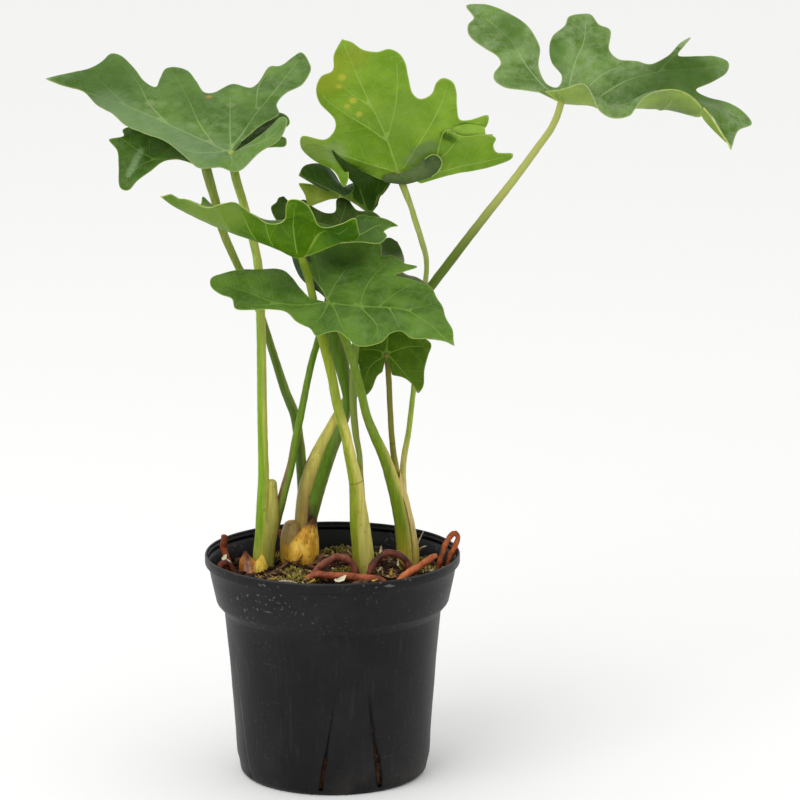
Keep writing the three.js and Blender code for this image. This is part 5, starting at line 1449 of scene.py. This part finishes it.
# mounds of moss: place, half width, half depth, height and count of threads
mossMounds = [
    (-14, -10, 9, 7, 3.6, 150), (-18, 2, 7, 6, 3.4, 110), (2, 37, 9, 5, 4, 120), (5, 2, 6, 6, 3.4, 110),
    (40, 8, 5, 8, 3.2, 110), (40, 24, 5, 9, 3.2, 110), (-30, -18, 8, 6, 2.6, 80),
    (18, 30, 7, 5, 2.8, 60), (-24, 28, 7, 6, 2.8, 60), (20, -30, 8, 5, 2.2, 60),
    (-34, 20, 4, 6, 2.8, 50),
]
makeMoss("mossThreads", mossMounds, scrapMaterial("mossGreen", (78, 76, 16), (196, 184, 84)), 21)

# scraps: place, turn, length, width and curl
darkFlakes = [
    ((-14.5, 12, 86.5), (35, 50, 0), 9, 4, 0.6), ((-17, 8, 85), (160, 20, 20), 8, 5, 0.5),
    ((-7, 13, 85.5), (20, 30, 40), 9, 3.5, 0.6), ((-20, 3, 85.2), (70, 15, -30), 8, 4, 0.7),
    ((12, -20, 84.4), (10, 10, 10), 7, 4, 0.5), ((-24, -6, 84.6), (-20, 12, 10), 8, 4, 0.5),
    ((28, 1, 86), (120, 30, 60), 7, 4, 0.8), ((33, -12, 84.8), (60, 20, -20), 6, 3, 0.6),
    ((-38, -12, 84.2), (100, 8, 0), 6, 4, 0.4), ((6, 24, 84.6), (150, 8, 12), 7, 4, 0.5),
]
paleChips = [
    ((3.6, -20, 86), (38, 16, 24), 5.6, 2.4, 0.7), ((27, 2, 87), (70, 60, 0), 2.4, 1.2, 0.8),
    ((40.5, -4, 85.6), (30, 20, 0), 2.2, 1.1, 0.8), ((-44.6, 6.4, 88.2), (60, 30, 30), 3.4, 1.8, 0.9),
    ((-43, 5.6, 87), (120, 10, 50), 2.6, 1.4, 0.9), ((19.4, -4, 86), (20, 50, 0), 2.4, 1.2, 0.8),
]
yellowBits = [
    ((17.5, -17.5, 84.8), (-30, 25, 20), 3.2, 1.2, 0.8), ((-8, -17, 84.4), (50, 12, 0), 3.4, 1, 0.8),
    ((24, -6, 85), (80, 40, 0), 2.6, 1.2, 0.9), ((-24, -14, 84.4), (15, 10, 0), 4, 1.2, 0.9),
    ((36, -12, 84.8), (70, 15, 0), 3, 1, 0.8), ((-11, -21, 84.2), (140, 20, 30), 3.4, 1.2, 0.9),
]
makeScraps("darkFlakes", darkFlakes, scrapMaterial("darkFlakes", (44, 28, 18), (112, 78, 50)))
makeScraps("paleChip", paleChips, scrapMaterial("paleChip", (206, 200, 168), (240, 236, 214), 0.7))
makeScraps("yellowBits", yellowBits, scrapMaterial("yellowBits", (150, 120, 40), (216, 190, 90), 0.7))


def scatterChaff(heaps, seed):
    # flakes strewn round each place, given with its reach and their count
    chance = random.Random(seed)
    strewn = []
    for x0, y0, reach, count in heaps:
        for _ in range(count):
            turn, away = chance.random() * 6.28, reach * chance.random() ** 0.6
            x, y = x0 + away * math.cos(turn), y0 + away * math.sin(turn)
            strewn.append(((x, y, soilHeight(x, y) + chance.uniform(0.4, 1.8)),
                           (chance.random() * 360, chance.uniform(-20, 50), chance.uniform(-50, 50)),
                           chance.uniform(1.8, 5), chance.uniform(0.6, 1.7), chance.uniform(0.3, 1)))
    return strewn


chaffHeaps = [(-18, -8, 13, 70), (24, -3, 6, 16), (8, 34, 9, 16), (-27, -19, 8, 20), (40, 6, 6, 14)]
makeScraps("chaff", scatterChaff(chaffHeaps, 31), scrapMaterial("chaff", (70, 46, 28), (186, 156, 104)))

strands = [
    [(34, 16, 84, 0.45), (34.3, 16, 89, 0.45), (35, 16, 92, 0.4), (37.3, 16, 96.9, 0.2)],
    [(33.6, 14, 83.5, 0.4), (34.6, 14, 87.8, 0.4), (36.4, 14, 90.6, 0.35), (38.5, 14, 91.2, 0.2)],
    [(19.2, -6.4, 90, 0.9), (19.8, -6.2, 93.4, 0.7), (19.9, -6, 96.2, 0.3)],
    [(-24, -16, 83, 0.4), (-19, -19, 85, 0.45), (-12, -21, 84, 0.3)],
    [(2, -24, 83, 0.4), (8, -27, 84.6, 0.4), (14, -27, 83.4, 0.3)],
]
strandBm = bmesh.new()
for knots in strands:
    addTube(strandBm, knots, 8, 1.2, 0.15, 4)
strandLook = scrapMaterial("dryStrands", (128, 104, 70), (214, 204, 178))
addPiece(strandBm, "dryStrands", ["soil"], [strandLook])
print("soil, moss and scraps are made")

# dry scale leaves at the foot of the stalks: swollen, streaked and browned at the tip


def scaleMaterial(name, look):
    material, tree, shader = newMaterial(name, 0.5)
    place = ownPlace(tree)
    long = noiseAt(tree, stretched(tree, ownPlace(tree), (1, 1, 0.2)), 620, 4, 0.6)
    patches = noiseAt(tree, place, 150, 4, 0.6)
    body = blendColor(tree, remap(tree, patches, 0.35, 0.65), paint(*look["dark"]), paint(*look["light"]))
    body = blendColor(tree, remap(tree, long, 0.5, 0.75, 0.0, 0.5), body, paint(*look["streak"]))
    specks = remap(tree, noiseAt(tree, stretched(tree, ownPlace(tree), (1, 1, 0.5)), 900, 3, 0.6), 0.58, 0.68)
    body = blendColor(tree, times(tree, specks, 0.7), body, paint(*look["speck"]))
    height = addNode(tree, "SeparateXYZ", {"Vector": place}).outputs["Z"]
    wavy = plus(tree, height, times(tree, patches, 0.006))
    tip = remap(tree, wavy, (look["tip"] + 2) * mm, (look["tip"] + 5) * mm)
    color = blendColor(tree, tip, body, paint(*look["speck"]))
    dress(tree, shader, color, None, plus(tree, long, patches))
    return material


def makeScale(scale, name, seed):
    bm = bmesh.new()
    addSheath(bm, scale["knots"], scale["opening"], scale["facing"], seed, scale["drop"], 0.45)
    addPiece(bm, name, [scale["node"]], [scaleMaterial(name + "Skin", scale["look"])], 60)


scaleBack = {
    "node": "bract_back",
    "knots": [(-12.2, 18, 80.5, 5.4), (-12.6, 17.6, 84.5, 6.5), (-12.6, 17.6, 88.5, 6.6),
        (-11.6, 17.8, 93, 5.3), (-10.2, 18, 97, 3.7), (-8.8, 18, 100.2, 2.2), (-7.9, 18, 102.6, 0.9)],
    "opening": 112, "facing": -86, "drop": 2,
    "look": {"dark": (188, 132, 26), "light": (234, 186, 66), "streak": (244, 216, 126),
        "speck": (92, 58, 28), "tip": 98},
}
makeScale(scaleBack, "scaleBack", 5)

scaleLeft = {
    "node": "bract_left",
    "knots": [(-34, 8.4, 79.5, 4.4), (-34.2, 8.4, 84, 4.5), (-35, 8, 87.4, 3.2), (-35.7, 7.6, 91, 1.2)],
    "opening": 84, "facing": -100, "drop": 2,
    "look": {"dark": (170, 98, 40), "light": (222, 164, 66), "streak": (222, 170, 130),
        "speck": (96, 54, 42), "tip": 88},
}
makeScale(scaleLeft, "scaleLeft", 6)

scaleBright = {
    "node": "bract_left",
    "knots": [(-30.2, 8.4, 79.5, 3.6), (-30.2, 8.2, 84, 3.6), (-29.8, 7.8, 87, 2.4),
        (-29.3, 7.4, 89.4, 0.9)],
    "opening": 78, "facing": -78, "drop": 1,
    "look": {"dark": (204, 156, 30), "light": (238, 206, 84), "streak": (244, 230, 140),
        "speck": (150, 100, 40), "tip": 93},
}
makeScale(scaleBright, "scaleBright", 7)

scalePapery = {
    "node": "bract_left",
    "knots": [(-33.6, 6.2, 79.5, 3.4), (-33.8, 6.2, 83, 3.4), (-34.2, 6, 86.4, 2.4),
        (-34.4, 5.8, 89.6, 0.9)],
    "opening": 60, "facing": -130, "drop": 1,
    "look": {"dark": (128, 78, 60), "light": (196, 146, 118), "streak": (220, 186, 150),
        "speck": (84, 50, 40), "tip": 87},
}
makeScale(scalePapery, "scalePapery", 8)
print("dry scales are made")

# turned-over bits of blade: a bulging strip between two edges

flapMake = {
    "rows": 12, "columns": 48, "edge": 0.6, "rough": 0.3, "thickness": 0.45,
}


def makeFlap(flap, name, seed):
    lines = [evenPoints([Vector(k) for k in flap[side]], flapMake["edge"]) for side in ("upper", "lower")]
    rows, columns = flapMake["rows"], flapMake["columns"]
    bm, table = newGrid(columns, rows)
    for column in range(columns + 1):
        share = column / columns
        ends = [line[min(round(share * (len(line) - 1)), len(line) - 1)] for line in lines]
        for row in range(rows + 1):
            place = ends[0].lerp(ends[1], row / rows)
            bulge = flap["bulge"] * math.sin(math.pi * row / rows) * math.sin(math.pi * share) ** 0.6
            rough = noise.noise(place * 0.25 + Vector((seed, 0, 0))) * flapMake["rough"]
            table[column][row].co = place - Vector((0, bulge + rough, 0))
    bmesh.ops.remove_doubles(bm, verts=bm.verts[:], dist=0.02)
    thicken(bm, flapMake["thickness"])
    material, tree, shader = newMaterial(name + "Skin", 0.45, 0.12)
    place = ownPlace(tree)
    skin = placeGroup(tree, leafSkin, {"Place": place, "Open": 0.0, **flap["look"]})
    dress(tree, shader, skin["Color"], skin["Roughness"], skin["Height"], 0.4)
    addPiece(bm, name, [flap["node"]], [material], 50)


flapRolled = {
    "node": "leaf_centre_upright", "slot": "blade_light", "bulge": 1.2,
    "upper": [(20.4, 28, 243), (24.3, 27, 244.3), (26.4, 26, 244.4), (29.8, 24.5, 245.6), (34.6, 23, 248.3),
        (37.5, 22, 251.3), (39.8, 21.5, 252.6), (41.8, 21.5, 253), (43.6, 21.5, 251.8), (44.4, 22, 250.1)],
    "lower": [(21.1, 28, 241.1), (25.8, 26, 240.8), (29.6, 25, 240.7), (32.9, 23.5, 241.6),
        (36.1, 22.5, 242.7), (40.4, 22, 244.3), (42.6, 21.5, 246.2), (44.2, 21.5, 248.3),
        (44.5, 22, 249.7)],
    "look": sideLook((50, 70, 30), (84, 102, 54), (132, 146, 104), (104, 120, 84)),
}
makeFlap(flapRolled, "leafCentreUprightFlap", 3)

flapJoining = {
    "node": "leaf_centre_upright", "slot": "blade_light", "bulge": 0,
    "upper": [(46.2, 14.6, 264.6), (48, 15.2, 264.9), (50.3, 15.8, 265.7), (53.8, 16.4, 266.4),
        (58.5, 17.2, 266.1), (61.8, 17.9, 265.4)],
    "lower": [(46.6, 16, 262.8), (48, 16.9, 262), (52.1, 18, 260.2), (55.1, 18.6, 260), (58.5, 18.8, 260.4),
        (62.4, 18.8, 260.8)],
    # painted light: the colours are lighter than the blade's so that this back-facing strip looks as lit as
    # the blade round it
    "look": sideLook((122, 160, 44), (148, 184, 66), (170, 196, 96), (150, 176, 96)),
}
makeFlap(flapJoining, "leafCentreUprightJoin", 4)

flapUnder = {
    "node": "leaf_centre_folded", "slot": "blade_deep", "bulge": 0.6,
    "upper": [(-13.7, 31, 240), (-9.4, 31, 239.6), (-2.5, 31, 237.6), (3.3, 31, 235.6)],
    "lower": [(-13.5, 31, 239.4), (-11.1, 31, 235.1), (-9.7, 31, 230.6), (-6, 31, 231.8), (-1.3, 31, 233.4),
        (2.1, 31, 233.9), (3.3, 31, 234.8)],
    "look": sideLook((122, 144, 34), (156, 172, 66), (170, 188, 90), (150, 164, 90)),
}
makeFlap(flapUnder, "leafCentreFoldedUnder", 5)

flapSpike = {
    "node": "leaf_centre_folded", "slot": "blade_deep", "bulge": 0.2,
    "upper": [(0.1, 21.6, 255.1), (3.6, 22.4, 251.8), (7.3, 23, 249.1), (12.1, 24, 246.1), (17, 25, 243)],
    "lower": [(0, 21.6, 254.8), (1.6, 22.6, 251.6), (4, 23.4, 248), (6.8, 24.6, 243.1), (12.1, 26, 237.9)],
    # painted shade: the dark colours stand for the shade under the upright leaf
    "look": sideLook((34, 60, 4), (50, 78, 12), (96, 120, 44), (84, 104, 50)),
}
makeFlap(flapSpike, "leafCentreFoldedTip", 6)

flapEdge = {
    "node": "leaf_right_high", "slot": "blade_bloom", "bulge": 0.3,
    "upper": [(147.3, -15, 277.6), (149.6, -14, 275.1), (152.6, -13.2, 270.9), (155.5, -13.2, 266.3),
        (157.5, -13.8, 263.5)],
    "lower": [(146.3, -14.6, 275.8), (147.9, -13.6, 272.7), (151, -12.6, 269.3), (153.8, -12.6, 266.6),
        (157.2, -13.6, 263.5)],
    "look": sideLook((112, 138, 54), (136, 160, 76), (170, 188, 100), (144, 164, 90)),
}
makeFlap(flapEdge, "leafRightHighStrip", 8)

flapLobe = {
    "node": "leaf_front_broad", "slot": "blade_bloom", "bulge": 0.2,
    "upper": [(-16.6, 11, 214.1), (-15.3, 8, 210.1), (-13.2, 4.5, 206.2), (-10.7, 1, 204),
        (-7.9, -2, 202.3), (-5, -6, 201.4), (-2.5, -11.4, 200.3)],
    "lower": [(-9.2, 8, 213.8), (-8, 4.6, 211.1), (-6.5, 1, 208.5), (-5.2, -3, 206.3), (-3.9, -6.8, 204.4),
        (-2.9, -9.6, 202.6), (-1.9, -12.2, 200.5)],
    "look": sideLook((34, 56, 18), (66, 90, 54), (96, 120, 70), (84, 106, 84)),
}
makeFlap(flapLobe, "leafFrontBroadLobe", 9)

beadMake = {
    "rolled": [(42.7, 21, 252.9), (43.4, 18.6, 256.7), (44.2, 16.6, 260.3), (45.2, 15.4, 263.1),
        (46.8, 14.6, 264.4), (48.6, 14.8, 264.2), (50.1, 16, 262.4), (52.1, 17, 260.9), (55.1, 17.6, 260.9),
        (58.5, 17.8, 261.2), (62, 17.8, 261.7), (65, 18.4, 261.7)],
    "flap": [(37.7, 21, 251.4), (39.8, 20.6, 252.9), (41.8, 20.6, 253.3), (43.8, 20.6, 252.1),
        (44.6, 21, 250.2), (44.3, 20.8, 248.3), (42.9, 20.8, 246.1), (40.6, 21, 244.3)],
    "tip": [(147.7, -15.2, 277.3), (149.5, -14.4, 275.2), (152.5, -13.6, 271), (155.5, -13.6, 266.3),
        (157.4, -14.2, 263.6), (158.9, -14.8, 260.7)],
    "radius": 0.28, "color": (150, 176, 88), "tipRadius": 0.32, "tipColor": (198, 206, 112),
    "sides": 6, "spacing": 0.8, "waver": 0.08, "seed": 7,
}
beadTube = [beadMake[key] for key in ("sides", "spacing", "waver", "seed")]
beadBm = bmesh.new()
for knots in (beadMake["rolled"], beadMake["flap"]):
    addTube(beadBm, [(*knot, beadMake["radius"]) for knot in knots], *beadTube)
beadLook = edgeMaterial("leafCentreUprightBead", beadMake["color"])
addPiece(beadBm, "leafCentreUprightBead", ["leaf_centre_upright"], [beadLook])
tipBm = bmesh.new()
addTube(tipBm, [(*knot, beadMake["tipRadius"]) for knot in beadMake["tip"]], *beadTube)
tipLook = edgeMaterial("leafRightHighBead", beadMake["tipColor"])
addPiece(tipBm, "leafRightHighBead", ["leaf_right_high"], [tipLook])
print("turned-over bits are made")

# floor, light and camera

stageLook = {
    "floor": (247, 247, 246), "floorHalf": 6, "world": 0.95, "keyEnergy": 9.0, "keySize": 1.1,
    "keyPlace": (-0.7, -0.9, 1.25), "keyTarget": (0, 0, 0.15), "lens": 176.6, "clipEnd": 50,
    "cameraPlace": (0.0276, -1.5576, 0.4898), "cameraTilt": 77.9,
}


def addToScene(name, data, place=(0, 0, 0)):
    made = bpy.data.objects.new(name, data)
    bpy.context.scene.collection.objects.link(made)
    made.location = place
    return made


floorBm = bmesh.new()
bmesh.ops.create_grid(floorBm, x_segments=1, y_segments=1, size=stageLook["floorHalf"])
floorMesh = bpy.data.meshes.new("floor")
floorBm.to_mesh(floorMesh)
floorBm.free()
floorMaterial, _, floorShader = newMaterial("paleFloor", 0.9)
floorShader.inputs["Base Color"].default_value = (*paint(*stageLook["floor"]), 1)
floorMesh.materials.append(floorMaterial)
floor = addToScene("floor", floorMesh)

world = bpy.data.worlds.new("studio")
world.use_nodes = True
background = world.node_tree.nodes["Background"].inputs
background["Color"].default_value = (1, 1, 1, 1)
background["Strength"].default_value = stageLook["world"]
bpy.context.scene.world = world

keyData = bpy.data.lights.new("keyLight", "AREA")
keyData.energy, keyData.size = stageLook["keyEnergy"], stageLook["keySize"]
key = addToScene("keyLight", keyData, stageLook["keyPlace"])
aim = Vector(stageLook["keyTarget"]) - key.location
key.rotation_euler = aim.to_track_quat("-Z", "Y").to_euler()

cameraData = bpy.data.cameras.new("camera")
cameraData.lens, cameraData.clip_end = stageLook["lens"], stageLook["clipEnd"]
camera = addToScene("camera", cameraData, stageLook["cameraPlace"])
camera.rotation_euler = (math.radians(stageLook["cameraTilt"]), 0, 0)
bpy.context.scene.camera = camera
bpy.context.scene.view_settings.view_transform = "Standard"
print("camera and light are set")
